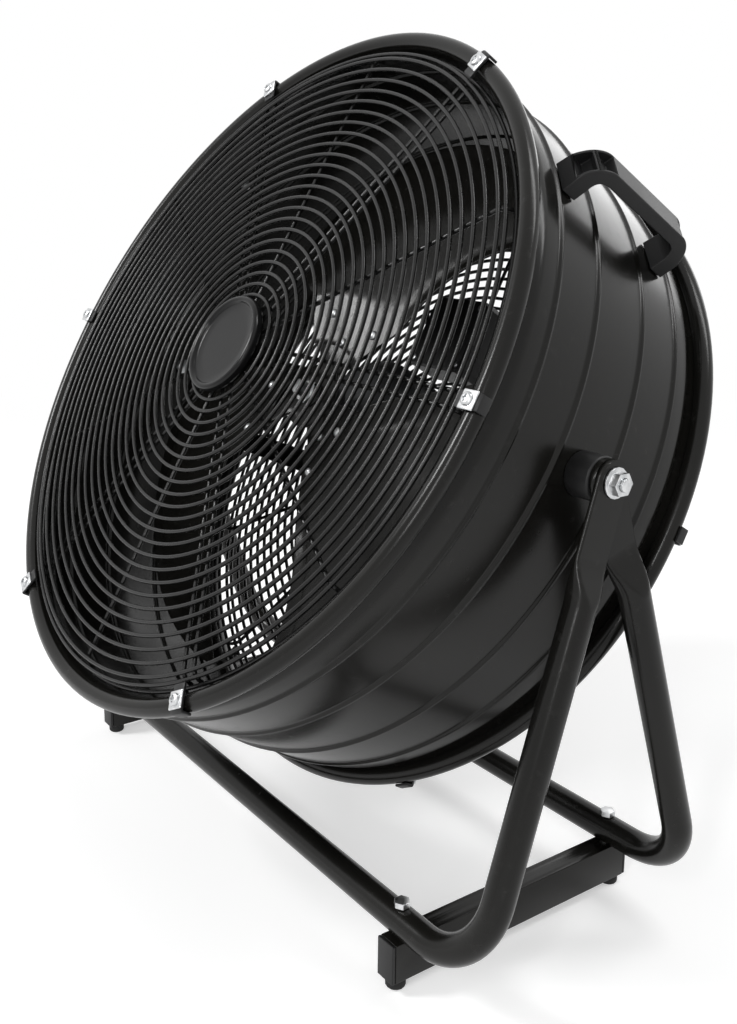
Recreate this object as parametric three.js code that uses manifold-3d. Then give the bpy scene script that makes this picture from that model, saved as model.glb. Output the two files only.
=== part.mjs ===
// A drum fan: a beaded steel drum with a wire guard at each end, tilting on two pivot bolts in a stand
// of two bent tubes on two skids. A motor on two straps turns three wide blades inside the drum.
// Millimetres, +Z up, front towards -Y. The origin lies on the floor, under the pivots.
import * as THREE from 'three';
import { mergeVertices } from 'three/addons/utils/BufferGeometryUtils.js';
import Module from 'manifold-3d';

const wasm = await Module();
wasm.setup();

// ---------------------------------------------------------------- driving dimensions
const GAP = 0.3; // between faces that touch on the real fan
const PAST = 5; // of a cutting bar beyond what it cuts
const DRUM_TILT = 30.5; // degrees that the front looks up at rest

// drum
const RIM_RADIUS = 335; // outside of the rolled rims
const RIM_SPAN = 245; // between the centres of the two rolled rims
const RIM_BEAD = 8; // radius of the roll
const SHEET = 1.5; // wall of the barrel
const BARREL_DROP = 10; // barrel surface below the rim's outside
const NECK_DROP = 6; // neck surface below the barrel's
const NECK_START = 14; // from the roll's centre back to the neck's end at the barrel
const NECK_SLOPE = 4.8; // along the axis, from the barrel down to the neck
const CURL_CORNER = 5.5; // from the roll's centre to the inner corner where the neck runs into the roll
const BEAD_RISE = 2.5;
const BEAD_HALF = 4;
const BEAD_PLACES = [-80, -31, 31, 80]; // along the drum's axis
const DRUM_FACETS = 36;

// wire guards
const WIRE = 3.8; // ring wire
const SPOKE_WIDTH = 4;
const GUARD_DEPTH = 4.2; // through rings and spokes
const RINGS = 12; // on the face, before the two at the turned-back edge
const FIRST_RING = 53;
const LAST_TO_EDGE = 9.4; // from the last ring to the edge rings
const GUARD_RISE = 3; // of the guard's middle in front of the roll
const GUARD_DISH = 3; // fall from the middle to the last ring
const GUARD_STEP = 3.2; // fall from there to the edge
const GUARD_TURN = 8.8; // depth of the turned-back edge
const GUARD_PLAY = 0.5; // from the turned-back edge to the neck
const CENTRE_PLATE = 42;
const SPOKE_PAIR = 12.6; // between the two wires of a pair
const SPOKES = 12;
const FINE_RADIUS = 120; // rings inside this have half as many sides
const CAP_RADIUS = 47.5;
const CAP_HEIGHT = 9;

// clips round the rims
const CLIPS = 6;
const CLIP_WIDTH = 16;
const CLIP_LEG = 4;
const CLIP_FRONT = 3;
const CLIP_LAP = 0.5; // over the turned-back edge, inside its middle
const CLIP_PLATE = 18;
const CLIP_PLATE_THICKNESS = 2.2;
const CLIP_SCREW_RADIUS = 4.5;
const CLIP_SCREW_HEIGHT = 2;
const CLIP_BEVEL = 1.5;
const CLIP_SINK = 0.5; // of the plate and its screw into what carries them

// carrying handles
const HANDLE_ANGLES = { right: 40, left: 140 }; // round the drum, from the right-hand pivot
const HANDLE_SHIFT = 4.5; // of the handle's middle towards the front
const HANDLE_HALF = 71; // half the length
const HANDLE_FLAT = 47; // half the length of the flat top
const HANDLE_HEIGHT = 38;
const HANDLE_GRIP = 12; // thickness of the grip
const HANDLE_OPENING = 55; // half the length of the finger gap
const HANDLE_CORNER = 13; // of the finger gap
const HANDLE_FOOT_WIDTH = 32;
const HANDLE_GRIP_WIDTH = 26;
const HANDLE_FOOT_HEIGHT = 6; // above it the legs grow narrower
const HANDLE_WALL = 3; // of the pockets in the legs
const HANDLE_SKIN = 3.5; // between the pockets and the finger gap
const HANDLE_POCKET = 15; // from the barrel up to the pockets
const HANDLE_RIB = 2.2; // between the two pockets of a leg
const HANDLE_SEAT = 0.05; // more than the gap, over the barrel's facets

// pivots
const BOLT_RADIUS = 5;
const BORE_PLAY = 0.35; // round a shank
const BUSH_RADIUS = 18;
const BOLT_HEAD_RADIUS = 9;
const BOLT_HEAD_HEIGHT = 6;
const NUT_RADIUS = 9.5;
const NUT_HEIGHT = 6.8;
const NUT_FLANGE_RADIUS = 12;
const NUT_FLANGE = 2;
const BOLT_END = 2.5; // of the shank, past the nut

// stand
const TUBE_RADIUS = 12.5;
const LEG_CLEARANCE = 10.5; // from the rims to the legs
const SWEEP_CLEARANCE = 10; // from the turning drum to the cross tubes
const BEND_RADIUS = 60;
const PLATE_THICKNESS = 5; // of the flattened tube ends
const PLATE_HALF_WIDTH = 17;
const PLATE_INSET = 1.6; // of the outer flattened ends from the legs' middle
const PLATE_LENGTH = 58; // flat, below the pivot
const PLATE_BLEND = 38; // from flat to round
const TUBE_SIDES = 12;
const TUBE_WALL = 1.5;
const TUBE_BEND = 5; // steps in a bend
const SQUARED_EDGE = 1.2; // how far the flattened section is squared off
const HOLLOW_SHARE = 0.55; // of the blend that stays solid
const SKID_WIDTH = 20;
const SKID_HEIGHT = 34;
const SKID_WALL = 1.5;
const SKID_LENGTH = 270; // over the end caps
const SKID_OFFSET = 269; // from the middle of the fan
const CROSS_INSET = 16.5; // from the skids' ends to the cross tubes' middle
const END_CAP = 3;
const PLUG_TO_BOLT = 2; // from the end caps' plugs to the skid bolts
const FOOT_HEIGHT = 9;
const FOOT_RADIUS = 8.5;
const FOOT_INSET = 11; // from the skid's end
const SKID_BOLT_RADIUS = 4;
const SKID_BOLT_HEAD = 7;
const SKID_BOLT_HEAD_HEIGHT = 5;
const SKID_BOLT_DEPTH = 10; // of the shank below the skid's top

// motor
const MOTOR_RADIUS = 70;
const MOTOR_LENGTH = 68;
const MOTOR_NOSE = 6;
const MOTOR_COVER = 7;
const STRAP_THICKNESS = 4;
const STRAP_WIDTH = 24;
const STRAP_OFFSET = 48; // above and below the axis
const STRAP_TAB = 30;
const STRAP_PLACE = 8; // from the rear neck to the straps

// rotor
const ROTOR_PLACE = 28; // of the spider's plane in front of the pivots
const SHAFT_RADIUS = 7.5;
const SHAFT_DEPTH = 28; // into the motor
const SHAFT_NOSE = 22; // in front of the spider's plane
const SPIDER_THICKNESS = 3;
const SPIDER_RADIUS = 104;
const SPIDER_HALF_ANGLE = 28;
const SPIDER_ROUNDING = 0.18; // of an arm's end, as a share of its radius
const SPIDER_DISC = 34;
const TWIST_START = 27; // the spider is flat inside this radius
const TWIST_END = 48; // and has its full twist outside this one
const HUB_RADIUS = 20;
const HUB_FLANGE = 25.5;
const HUB_LENGTH = 22;
const ROTOR_NUT_RADIUS = 13;
const ROTOR_NUT_HEIGHT = 9;
const BLADES = 3;
const BLADE_PHASE = 79; // degrees, of the first blade's root
const BLADE_THICKNESS = 2;
const BLADE_ROOT = 52;
const TIP_CLEARANCE = 23.5; // from the blade tips to the inside of the barrel
const SEAT_SLOPE = 0.28; // of the flat seats between the arms and the blades
const SEAT_MARGIN = 2; // of a blade's flat root beyond its arm
const BLADE_CAMBER = 11; // of the tip, towards the front
const TRAILING_ANGLE = 25; // behind the seat's middle at the trailing edge's waist, degrees
const TRAILING_WAIST = 170; // radius of that waist
const TRAILING_HOLLOW = 10; // more degrees behind, 100 mm from the waist
const TRAILING_FALL = 22; // of the tip's trailing corner, from the seat's plane to the rear
const LEADING_ROOT_ANGLE = 36;
const LEADING_TIP_ANGLE = 65;
const LEADING_FALL = 100; // of the tip's leading corner
const LEADING_CORNER = 24; // fall of the rounded leading corner

// control box at the rear guard
const BOX_WIDTH = 82;
const BOX_HEIGHT = 80;
const BOX_DEPTH = 38;
const BOX_CENTRE = 127; // above the axis
const KNOB_RADIUS = 17;
const KNOB_HEIGHT = 17;
const KNOB_SHAFT = 3;
const KNOB_SHAFT_DEPTH = 14; // into the box
const KNOB_RUN = 1; // between the knob and the guard
const KNOB_BESIDE = 5.7; // from the ring below it
const KNOB_ANGLE = 8.5; // degrees beside the vertical wire

// ---------------------------------------------------------------- sizes that follow
const BARREL_RADIUS = RIM_RADIUS - BARREL_DROP;
const BARREL_INSIDE = BARREL_RADIUS - SHEET;
const NECK_RADIUS = BARREL_RADIUS - NECK_DROP;
const NECK_INSIDE = NECK_RADIUS - SHEET;
const FACET_SHRINK = Math.cos(Math.PI / DRUM_FACETS); // a facet's middle lies inside its corners
const ROLL_RADIUS = RIM_RADIUS - RIM_BEAD;
const ROLL_PLACE = RIM_SPAN / 2;
const NECK_PLACE = ROLL_PLACE - NECK_START;
const GUARD_Z = ROLL_PLACE + RIM_BEAD + GUARD_RISE;
const EDGE_RING = NECK_INSIDE * FACET_SHRINK - GUARD_DEPTH / 2 - GUARD_PLAY;
const LAST_RING = EDGE_RING - LAST_TO_EDGE;
const RING_PITCH = (LAST_RING - FIRST_RING) / (RINGS - 1);
const TURN_Z = GUARD_Z - GUARD_DISH - GUARD_STEP;
const LEG_X = RIM_RADIUS + LEG_CLEARANCE + TUBE_RADIUS;
const FRONT_PLATE_X = LEG_X - PLATE_INSET;
const REAR_PLATE_X = FRONT_PLATE_X - PLATE_THICKNESS - GAP;
const CROSS_REACH = SKID_LENGTH / 2 - CROSS_INSET; // before and behind the pivots
const CROSS_HEIGHT = FOOT_HEIGHT + SKID_HEIGHT + GAP + TUBE_RADIUS;
const DRUM_SWEEP = Math.hypot(ROLL_PLACE, ROLL_RADIUS) + RIM_BEAD;
const LEG_LENGTH = DRUM_SWEEP + SWEEP_CLEARANCE + TUBE_RADIUS;
const PIVOT_HEIGHT = CROSS_HEIGHT + Math.sqrt(LEG_LENGTH ** 2 - CROSS_REACH ** 2);
const BLADE_TIP = BARREL_INSIDE - TIP_CLEARANCE;
const STRAP_Z = -(NECK_PLACE - STRAP_PLACE) + STRAP_THICKNESS; // front face of the straps
const MOTOR_REAR = STRAP_Z + GAP + MOTOR_COVER + GAP;
const MOTOR_FRONT = MOTOR_REAR + MOTOR_LENGTH;

// ---------------------------------------------------------------- materials
function finish(name, colour, roughness, metalness) {
  const material = new THREE.MeshStandardMaterial({ color: colour, roughness, metalness });
  material.name = name;
  return material;
}
const blackPaint = finish('black paint', 0x1b1a19, 0.35, 0.4);
const blackWire = finish('black wire', 0x222120, 0.4, 0.5);
const blackPlastic = finish('black plastic', 0x1e1f20, 0.55, 0.0);
const blackRubber = finish('black rubber', 0x1a1a1a, 0.85, 0.0);
const zinc = finish('zinc', 0xc9ccce, 0.3, 0.95);
const greyCast = finish('grey cast', 0x3a3b3c, 0.55, 0.7);

// ---------------------------------------------------------------- shaping tools
const radians = THREE.MathUtils.degToRad;

// A closed geometry as a solid that can be cut and joined.
function toSolid(geometry) {
  const loose = geometry.index ? geometry.toNonIndexed() : geometry.clone();
  loose.deleteAttribute('normal');
  loose.deleteAttribute('uv');
  const merged = mergeVertices(loose, 1e-4);
  const corners = merged.index.array;
  const kept = [];
  for (let i = 0; i < corners.length; i += 3) {
    const [a, b, c] = corners.slice(i, i + 3);
    if (a !== b && b !== c && c !== a) kept.push(a, b, c);
  }
  const vertProperties = merged.attributes.position.array;
  return new wasm.Manifold(new wasm.Mesh({ numProp: 3, vertProperties, triVerts: new Uint32Array(kept) }));
}

function toGeometry(solid) {
  const mesh = solid.getMesh();
  const geometry = new THREE.BufferGeometry();
  geometry.setAttribute('position', new THREE.BufferAttribute(mesh.vertProperties, 3));
  geometry.setIndex(new THREE.BufferAttribute(mesh.triVerts, 1));
  geometry.computeVertexNormals();
  return geometry;
}

function join(...geometries) {
  return toGeometry(geometries.map(toSolid).reduce((whole, piece) => whole.add(piece)));
}

function trim(geometry, tool) {
  return toGeometry(toSolid(geometry).intersect(toSolid(tool)));
}

function cut(geometry, ...tools) {
  return toGeometry(tools.map(toSolid).reduce((whole, tool) => whole.subtract(tool), toSolid(geometry)));
}

// A profile of [radius, height] points, turned about +Z.
function revolve(profile, segments) {
  const points = profile.map(([r, z]) => new THREE.Vector2(r, z));
  const onAxis = points[0].x === 0 && points.at(-1).x === 0;
  if (!onAxis) points.push(points[0].clone());
  return new THREE.LatheGeometry(points, segments).rotateX(Math.PI / 2);
}

// A round bar along +Z from one height to another; six sides make a hexagon.
function bar(radius, from, to, sides) {
  const length = to - from;
  return new THREE.CylinderGeometry(radius, radius, length, sides)
    .rotateX(Math.PI / 2)
    .translate(0, 0, (from + to) / 2);
}

// A ring with a square section and a bore, along +Z.
function collar(inner, outer, from, to, segments) {
  return revolve([[inner, from], [outer, from], [outer, to], [inner, to]], segments);
}

// An outline of [radius, axial] points, given a width across the radius.
function slabAcross(shape, width) {
  return new THREE.ExtrudeGeometry(shape, { depth: width, bevelEnabled: false, curveSegments: 5 })
    .translate(0, 0, -width / 2)
    .rotateX(Math.PI / 2);
}

function outline(points) {
  return new THREE.Shape(points.map(([x, y]) => new THREE.Vector2(x, y)));
}

const turned = (geometry, degrees) => geometry.rotateZ(radians(degrees));
const alongX = (geometry, side) => geometry.rotateY((side * Math.PI) / 2);

function add(group, name, geometry, material) {
  const mesh = new THREE.Mesh(geometry, material);
  mesh.name = name;
  group.add(mesh);
  return mesh;
}

const SIDES = [['left', -1], ['right', 1]];
const ENDS = [['front', -1], ['rear', 1]];

const fan = new THREE.Group();
const stand = new THREE.Group();
const drum = new THREE.Group(); // its +Z is the fan's axis, its +X the right-hand pivot
const rotor = new THREE.Group();
drum.position.set(0, 0, PIVOT_HEIGHT);
drum.rotation.x = radians(90 - DRUM_TILT);
rotor.position.z = ROTOR_PLACE;
rotor.rotation.z = radians(BLADE_PHASE);
fan.add(stand, drum);
drum.add(rotor);

// ---------------------------------------------------------------- drum shell
// One sheet of steel: a beaded barrel, a neck at each end and an open curl round each mouth. A half profile
// is listed from the middle to the front, and the rear half is its mirror image.
const CURL_TURN = 60; // degrees between the corners of the curl

function curlPoint(radius, step) {
  const angle = radians(step * CURL_TURN - 180);
  return [ROLL_RADIUS + radius * Math.cos(angle), ROLL_PLACE + radius * Math.sin(angle)];
}

function bead(place) {
  return [
    [BARREL_RADIUS, place - BEAD_HALF],
    [BARREL_RADIUS + BEAD_RISE, place],
    [BARREL_RADIUS, place + BEAD_HALF],
  ];
}

function drumShell() {
  const insideOfCurl = RIM_BEAD - SHEET / Math.cos(radians(CURL_TURN / 2));
  const outerEnd = [
    [BARREL_RADIUS, NECK_PLACE - NECK_SLOPE],
    [NECK_RADIUS, NECK_PLACE],
    ...[1, 2, 3, 4, 5, 6].map((step) => curlPoint(RIM_BEAD, step)),
  ];
  const innerEnd = [
    ...[6, 5, 4, 3, 2, 1].map((step) => curlPoint(insideOfCurl, step)),
    [ROLL_RADIUS - CURL_CORNER, ROLL_PLACE - CURL_CORNER],
    [NECK_INSIDE, NECK_PLACE - SHEET / 2],
    [BARREL_INSIDE, NECK_PLACE - NECK_SLOPE - SHEET / 2],
  ];
  const mirrored = (points) => points.map(([r, z]) => [r, -z]).reverse();
  const profile = [
    ...mirrored(innerEnd),
    ...mirrored(outerEnd),
    ...BEAD_PLACES.flatMap(bead),
    ...outerEnd,
    ...innerEnd,
  ];
  const shell = revolve(profile, DRUM_FACETS);
  const pivotHoles = SIDES.map(([, side]) =>
    alongX(bar(BOLT_RADIUS + BORE_PLAY, BARREL_INSIDE - PAST, BARREL_RADIUS + PAST, 12), side));
  return cut(shell, ...pivotHoles);
}
add(drum, 'drum_shell', drumShell(), blackPaint);

// ---------------------------------------------------------------- wire guards
// A guard starts as a flat disc with an opening between every two rings and wires. It is then dished, and
// its edge is turned back into the neck. The front guard has its wires in pairs at the clips.
const guardPath = [
  [0, GUARD_Z],
  [LAST_RING + WIRE, GUARD_Z - GUARD_DISH],
  [EDGE_RING, TURN_Z],
  [EDGE_RING, TURN_Z - GUARD_TURN],
];
const stepLength = Math.hypot(EDGE_RING - LAST_RING - WIRE, GUARD_STEP);
const flatCorner = LAST_RING + WIRE + stepLength;
const flatEdge = flatCorner + GUARD_TURN;

// The place on the formed guard of a point on the flat disc, off its middle by `through`.
function formed(flat, through) {
  const starts = [0, LAST_RING + WIRE, flatCorner];
  const step = starts.findLastIndex((start) => flat >= start);
  const [[r0, z0], [r1, z1]] = guardPath.slice(step, step + 2);
  const length = Math.hypot(r1 - r0, z1 - z0);
  const along = [(r1 - r0) / length, (z1 - z0) / length];
  const run = flat - starts[step];
  return [r0 + run * along[0] - through * along[1], z0 + run * along[1] + through * along[0]];
}

// The pattern is drawn a little turned, so that no two of its corners lie on one level line.
const PATTERN_TURN = 0.1;
const polar = (radius, angle) =>
  new THREE.Vector2(radius, 0).rotateAround(new THREE.Vector2(), angle + PATTERN_TURN);

// An opening between two radii and two wires. A side is the wire's angle and its edge's offset from it.
function opening(inner, outer, from, to) {
  const middle = (from.angle + to.angle) / 2;
  const arc = (radius) => {
    const start = polar(radius, from.angle + Math.asin(from.offset / radius));
    const end = polar(radius, to.angle + Math.asin(to.offset / radius));
    const fine = radius > FINE_RADIUS && from.angle !== to.angle;
    return fine ? [start, polar(radius, middle), end] : [start, end];
  };
  return new THREE.Path([...arc(inner), ...arc(outer).reverse()]);
}

function guard(paired) {
  const half = SPOKE_WIDTH / 2;
  const pairEdge = SPOKE_PAIR / 2 + half;
  const slotEdge = SPOKE_PAIR / 2 - half;
  const ringEdges = [[CENTRE_PLATE, FIRST_RING - WIRE / 2]];
  for (let i = 1; i < RINGS; i += 1) {
    const radius = FIRST_RING + RING_PITCH * i;
    ringEdges.push([radius - RING_PITCH + WIRE / 2, radius - WIRE / 2]);
  }
  ringEdges.push([LAST_RING + WIRE / 2, flatCorner - WIRE / 2], [flatCorner + WIRE / 2, flatEdge - WIRE]);

  const rim = Array.from({ length: 2 * SPOKES }, (_, i) => polar(flatEdge, (i * Math.PI) / SPOKES));
  const disc = new THREE.Shape(rim);
  for (let i = 0; i < SPOKES; i += 1) {
    const angle = (i * 2 * Math.PI) / SPOKES;
    const next = ((i + 1) * 2 * Math.PI) / SPOKES;
    const isPair = paired && i % 2 === 0;
    const nextIsPair = paired && i % 2 === 1;
    const from = { angle, offset: isPair ? pairEdge : half };
    const to = { angle: next, offset: nextIsPair ? -pairEdge : -half };
    for (const [inner, outer] of ringEdges) {
      disc.holes.push(opening(inner, outer, from, to));
      if (isPair) disc.holes.push(opening(inner, outer, { angle, offset: -slotEdge }, { angle, offset: slotEdge }));
    }
  }
  const geometry = new THREE.ExtrudeGeometry(disc, { depth: GUARD_DEPTH, bevelEnabled: false });
  geometry.rotateZ(-PATTERN_TURN);
  const position = geometry.attributes.position;
  for (let i = 0; i < position.count; i += 1) {
    const [x, y] = [position.getX(i), position.getY(i)];
    const flat = Math.hypot(x, y);
    const [radius, z] = formed(flat, position.getZ(i) - GUARD_DEPTH / 2);
    position.setXYZ(i, (x * radius) / flat, (y * radius) / flat, z);
  }
  return geometry;
}
add(drum, 'front_guard', guard(true), blackWire);
add(drum, 'rear_guard', guard(false).rotateY(Math.PI), blackWire);

// ---------------------------------------------------------------- centre cap
const capSeat = GUARD_Z + GUARD_DEPTH / 2 + GAP;
const capTop = capSeat + CAP_HEIGHT;
const centreCap = revolve([
  [0, capSeat],
  [CAP_RADIUS - 1.5, capSeat],
  [CAP_RADIUS, capSeat + 2],
  [CAP_RADIUS - 1, capTop - 2],
  [CAP_RADIUS - 4, capTop],
  [CAP_RADIUS - 7, capTop - 1.5],
  [CAP_RADIUS - 9, capTop - 4],
  [0, capTop - 4],
], 24);
add(drum, 'front_centre_cap', centreCap, blackPlastic);

// ---------------------------------------------------------------- clips
// A lug laps over the guard's edge and the roll, under a plate and its screw.
function clip(angle) {
  const lapFace = ROLL_PLACE + RIM_BEAD + GAP;
  const top = lapFace + CLIP_FRONT;
  const legInside = RIM_RADIUS + GAP;
  const lapStart = EDGE_RING - CLIP_LAP;
  const lug = slabAcross(outline([
    [lapStart, lapFace],
    [legInside, lapFace],
    [legInside, ROLL_PLACE - GAP],
    [legInside + CLIP_LEG, ROLL_PLACE - GAP],
    [legInside + CLIP_LEG, top - CLIP_BEVEL],
    [legInside + CLIP_LEG - CLIP_BEVEL, top],
    [lapStart, top],
  ]), CLIP_WIDTH);
  const face = top + CLIP_PLATE_THICKNESS;
  const plateShape = outline([
    [ROLL_RADIUS - CLIP_PLATE / 2, top - CLIP_SINK],
    [ROLL_RADIUS + CLIP_PLATE / 2, top - CLIP_SINK],
    [ROLL_RADIUS + CLIP_PLATE / 2 - CLIP_SINK, face],
    [ROLL_RADIUS - CLIP_PLATE / 2 + CLIP_SINK, face],
  ]);
  const plate = slabAcross(plateShape, CLIP_PLATE);
  const screw = bar(CLIP_SCREW_RADIUS, face - CLIP_SINK, face + CLIP_SCREW_HEIGHT, 8).translate(ROLL_RADIUS, 0, 0);
  return turned(join(lug, plate, screw), angle);
}

for (let i = 0; i < CLIPS; i += 1) {
  const angle = (i * 360) / CLIPS;
  add(drum, `front_clip_${i + 1}`, clip(angle), zinc);
  add(drum, `rear_clip_${i + 1}`, clip(angle).rotateY(Math.PI), zinc);
}

// ---------------------------------------------------------------- handles
// A moulded bow along the barrel, a little narrower at its grip. Two pockets core out the outer bend of
// each leg, with a slanting rib between them.
function handleOutline() {
  const seat = GAP + HANDLE_SEAT;
  const under = HANDLE_HEIGHT - HANDLE_GRIP;
  const bend = HANDLE_HALF - HANDLE_FLAT;
  const ease = bend / 2;
  const shape = new THREE.Shape();
  shape.moveTo(seat, HANDLE_OPENING);
  shape.lineTo(seat, HANDLE_HALF);
  shape.lineTo(HANDLE_HEIGHT - bend, HANDLE_HALF);
  shape.bezierCurveTo(
    HANDLE_HEIGHT - ease, HANDLE_HALF, HANDLE_HEIGHT, HANDLE_FLAT + ease, HANDLE_HEIGHT, HANDLE_FLAT);
  shape.lineTo(HANDLE_HEIGHT, -HANDLE_FLAT);
  shape.bezierCurveTo(
    HANDLE_HEIGHT, -HANDLE_FLAT - ease, HANDLE_HEIGHT - ease, -HANDLE_HALF, HANDLE_HEIGHT - bend, -HANDLE_HALF);
  shape.lineTo(seat, -HANDLE_HALF);
  shape.lineTo(seat, -HANDLE_OPENING);
  shape.lineTo(under - HANDLE_CORNER, -HANDLE_OPENING);
  shape.quadraticCurveTo(under, -HANDLE_OPENING, under, -HANDLE_OPENING + HANDLE_CORNER);
  shape.lineTo(under, HANDLE_OPENING - HANDLE_CORNER);
  shape.quadraticCurveTo(under, HANDLE_OPENING, under - HANDLE_CORNER, HANDLE_OPENING);
  shape.closePath();
  return shape;
}

function handlePockets(side) {
  const under = HANDLE_HEIGHT - HANDLE_GRIP;
  const leg = HANDLE_OPENING + HANDLE_SKIN;
  const top = HANDLE_HEIGHT + PAST;
  const beyond = HANDLE_HALF + PAST;
  // the rib rises at 45 degrees from the corner of the finger gap
  const ribStart = [under, leg];
  const rise = top - under;
  const offset = HANDLE_RIB / Math.SQRT2;
  const lower = [
    [HANDLE_POCKET, leg],
    [under - offset, leg],
    [top - offset, leg + rise],
    [top - offset, beyond + rise],
    [HANDLE_POCKET, beyond + rise],
  ];
  const upper = [
    [ribStart[0] + offset, leg],
    [under + HANDLE_SKIN, HANDLE_FLAT + HANDLE_SKIN],
    [under + HANDLE_SKIN, HANDLE_FLAT],
    [top, HANDLE_FLAT],
    [top, leg + rise - offset],
  ];
  return [lower, upper].map((points) => outline(points.map(([h, along]) => [h, side * along])));
}

function handle(angle) {
  const pockets = [-1, 1].flatMap(handlePockets);
  const pocketWidth = HANDLE_FOOT_WIDTH - 2 * HANDLE_WALL;
  const bow = slabAcross(handleOutline(), HANDLE_FOOT_WIDTH);
  const hollowed = cut(bow, ...pockets.map((pocket) => slabAcross(pocket, pocketWidth)));
  const position = hollowed.attributes.position;
  for (let i = 0; i < position.count; i += 1) {
    const rise = THREE.MathUtils.smoothstep(position.getX(i), HANDLE_FOOT_HEIGHT, HANDLE_HEIGHT - HANDLE_GRIP);
    const share = THREE.MathUtils.lerp(1, HANDLE_GRIP_WIDTH / HANDLE_FOOT_WIDTH, rise);
    position.setY(i, position.getY(i) * share);
  }
  return turned(hollowed.translate(BARREL_RADIUS, 0, HANDLE_SHIFT), angle);
}
for (const [name, angle] of Object.entries(HANDLE_ANGLES)) {
  add(drum, `handle_${name}`, handle(angle), blackPlastic);
}

// ---------------------------------------------------------------- pivots
// A bolt from inside the barrel, through a bush and both flattened tube ends, with a flange nut outside.
const bushEnd = REAR_PLATE_X - PLATE_THICKNESS / 2 - GAP;
const nutStart = FRONT_PLATE_X + PLATE_THICKNESS / 2 + GAP;
const nutEnd = nutStart + NUT_FLANGE + NUT_HEIGHT;
const boltSeat = BARREL_INSIDE * FACET_SHRINK - GAP;
const bore = BOLT_RADIUS + BORE_PLAY;

function pivotBush() {
  const start = BARREL_RADIUS + GAP;
  return revolve([
    [bore, start],
    [BUSH_RADIUS, start],
    [BUSH_RADIUS, bushEnd - 1.5],
    [BUSH_RADIUS - 1.5, bushEnd],
    [bore, bushEnd],
  ], 20);
}

function pivotBolt() {
  return join(
    bar(BOLT_HEAD_RADIUS, boltSeat - BOLT_HEAD_HEIGHT, boltSeat, 6),
    bar(BOLT_RADIUS, boltSeat - 1, nutEnd + BOLT_END, 10),
  );
}

function pivotNut() {
  const hexagon = bar(NUT_RADIUS, nutStart + NUT_FLANGE / 2, nutEnd, 6);
  const flange = bar(NUT_FLANGE_RADIUS, nutStart, nutStart + NUT_FLANGE, 16);
  return cut(join(hexagon, flange), bar(bore, nutStart - 1, nutEnd + 1, 10));
}

for (const [name, side] of SIDES) {
  add(drum, `pivot_bush_${name}`, alongX(pivotBush(), side), blackPlastic);
  add(drum, `pivot_bolt_${name}`, alongX(pivotBolt(), side), zinc);
  add(drum, `pivot_nut_${name}`, alongX(pivotNut(), side), zinc);
}

// ---------------------------------------------------------------- motor
function motorBody() {
  const noseEnd = MOTOR_FRONT + MOTOR_NOSE;
  const shaftBore = SHAFT_RADIUS + BORE_PLAY;
  return revolve([
    [0, MOTOR_REAR],
    [MOTOR_RADIUS - 6, MOTOR_REAR],
    [MOTOR_RADIUS, MOTOR_REAR + 6],
    [MOTOR_RADIUS, MOTOR_FRONT - 20],
    [MOTOR_RADIUS - 4, MOTOR_FRONT - 16],
    [MOTOR_RADIUS - 12, MOTOR_FRONT - 5],
    [MOTOR_RADIUS * 0.5, MOTOR_FRONT],
    [SHAFT_RADIUS + 10, MOTOR_FRONT],
    [SHAFT_RADIUS + 7, noseEnd],
    [shaftBore, noseEnd],
    [shaftBore, MOTOR_FRONT - SHAFT_DEPTH],
    [0, MOTOR_FRONT - SHAFT_DEPTH],
  ], 24);
}
add(drum, 'motor_body', motorBody(), greyCast);

const motorCover = revolve([
  [0, STRAP_Z + GAP],
  [MOTOR_RADIUS - 10, STRAP_Z + GAP],
  [MOTOR_RADIUS - 4, STRAP_Z + GAP + MOTOR_COVER - 3],
  [MOTOR_RADIUS - 4, STRAP_Z + GAP + MOTOR_COVER],
  [0, STRAP_Z + GAP + MOTOR_COVER],
], 24);
add(drum, 'motor_rear_cover', motorCover, blackPaint);

// Each strap crosses the barrel behind the motor. Its ends turn forwards and follow the barrel's wall.
function motorStrap(offset) {
  const back = STRAP_Z - STRAP_THICKNESS;
  const front = STRAP_Z + STRAP_TAB;
  const wall = BARREL_INSIDE - GAP / FACET_SHRINK;
  const farEdge = Math.abs(offset) + STRAP_WIDTH / 2;
  const inner = Math.sqrt(wall ** 2 - farEdge ** 2) - STRAP_THICKNESS;
  const shape = outline([
    [-wall, back],
    [wall, back],
    [wall, front],
    [inner, front],
    [inner, STRAP_Z],
    [-inner, STRAP_Z],
    [-inner, front],
    [-wall, front],
  ]);
  const room = bar(wall, back - 1, front + 1, DRUM_FACETS);
  return trim(slabAcross(shape, STRAP_WIDTH).translate(0, offset, 0), room);
}
add(drum, 'motor_strap_upper', motorStrap(STRAP_OFFSET), blackPaint);
add(drum, 'motor_strap_lower', motorStrap(-STRAP_OFFSET), blackPaint);

// ---------------------------------------------------------------- rotor
// An arm is twisted out of the spider's disc into a tilted flat seat. The blade's root lies flat on the
// front of the seat, and further out the blade bends back from the seat's plane, most at its leading edge.
const seatEnd = SPIDER_RADIUS + SEAT_MARGIN;
const outboardShare = (radius) => Math.max(0, (radius - seatEnd) / (BLADE_TIP - seatEnd));

function seatHeight(radius, angle) {
  const twist = THREE.MathUtils.smoothstep(radius, TWIST_START, TWIST_END);
  return SEAT_SLOPE * twist * Math.min(radius, seatEnd) * Math.sin(radians(angle));
}

function leadingAngle(radius) {
  return THREE.MathUtils.lerp(LEADING_ROOT_ANGLE, LEADING_TIP_ANGLE, outboardShare(radius) ** 0.6);
}

function trailingAngle(radius) {
  const fromWaist = (Math.max(radius, seatEnd) - TRAILING_WAIST) / 100;
  return TRAILING_ANGLE + TRAILING_HOLLOW * fromWaist ** 2;
}

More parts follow.
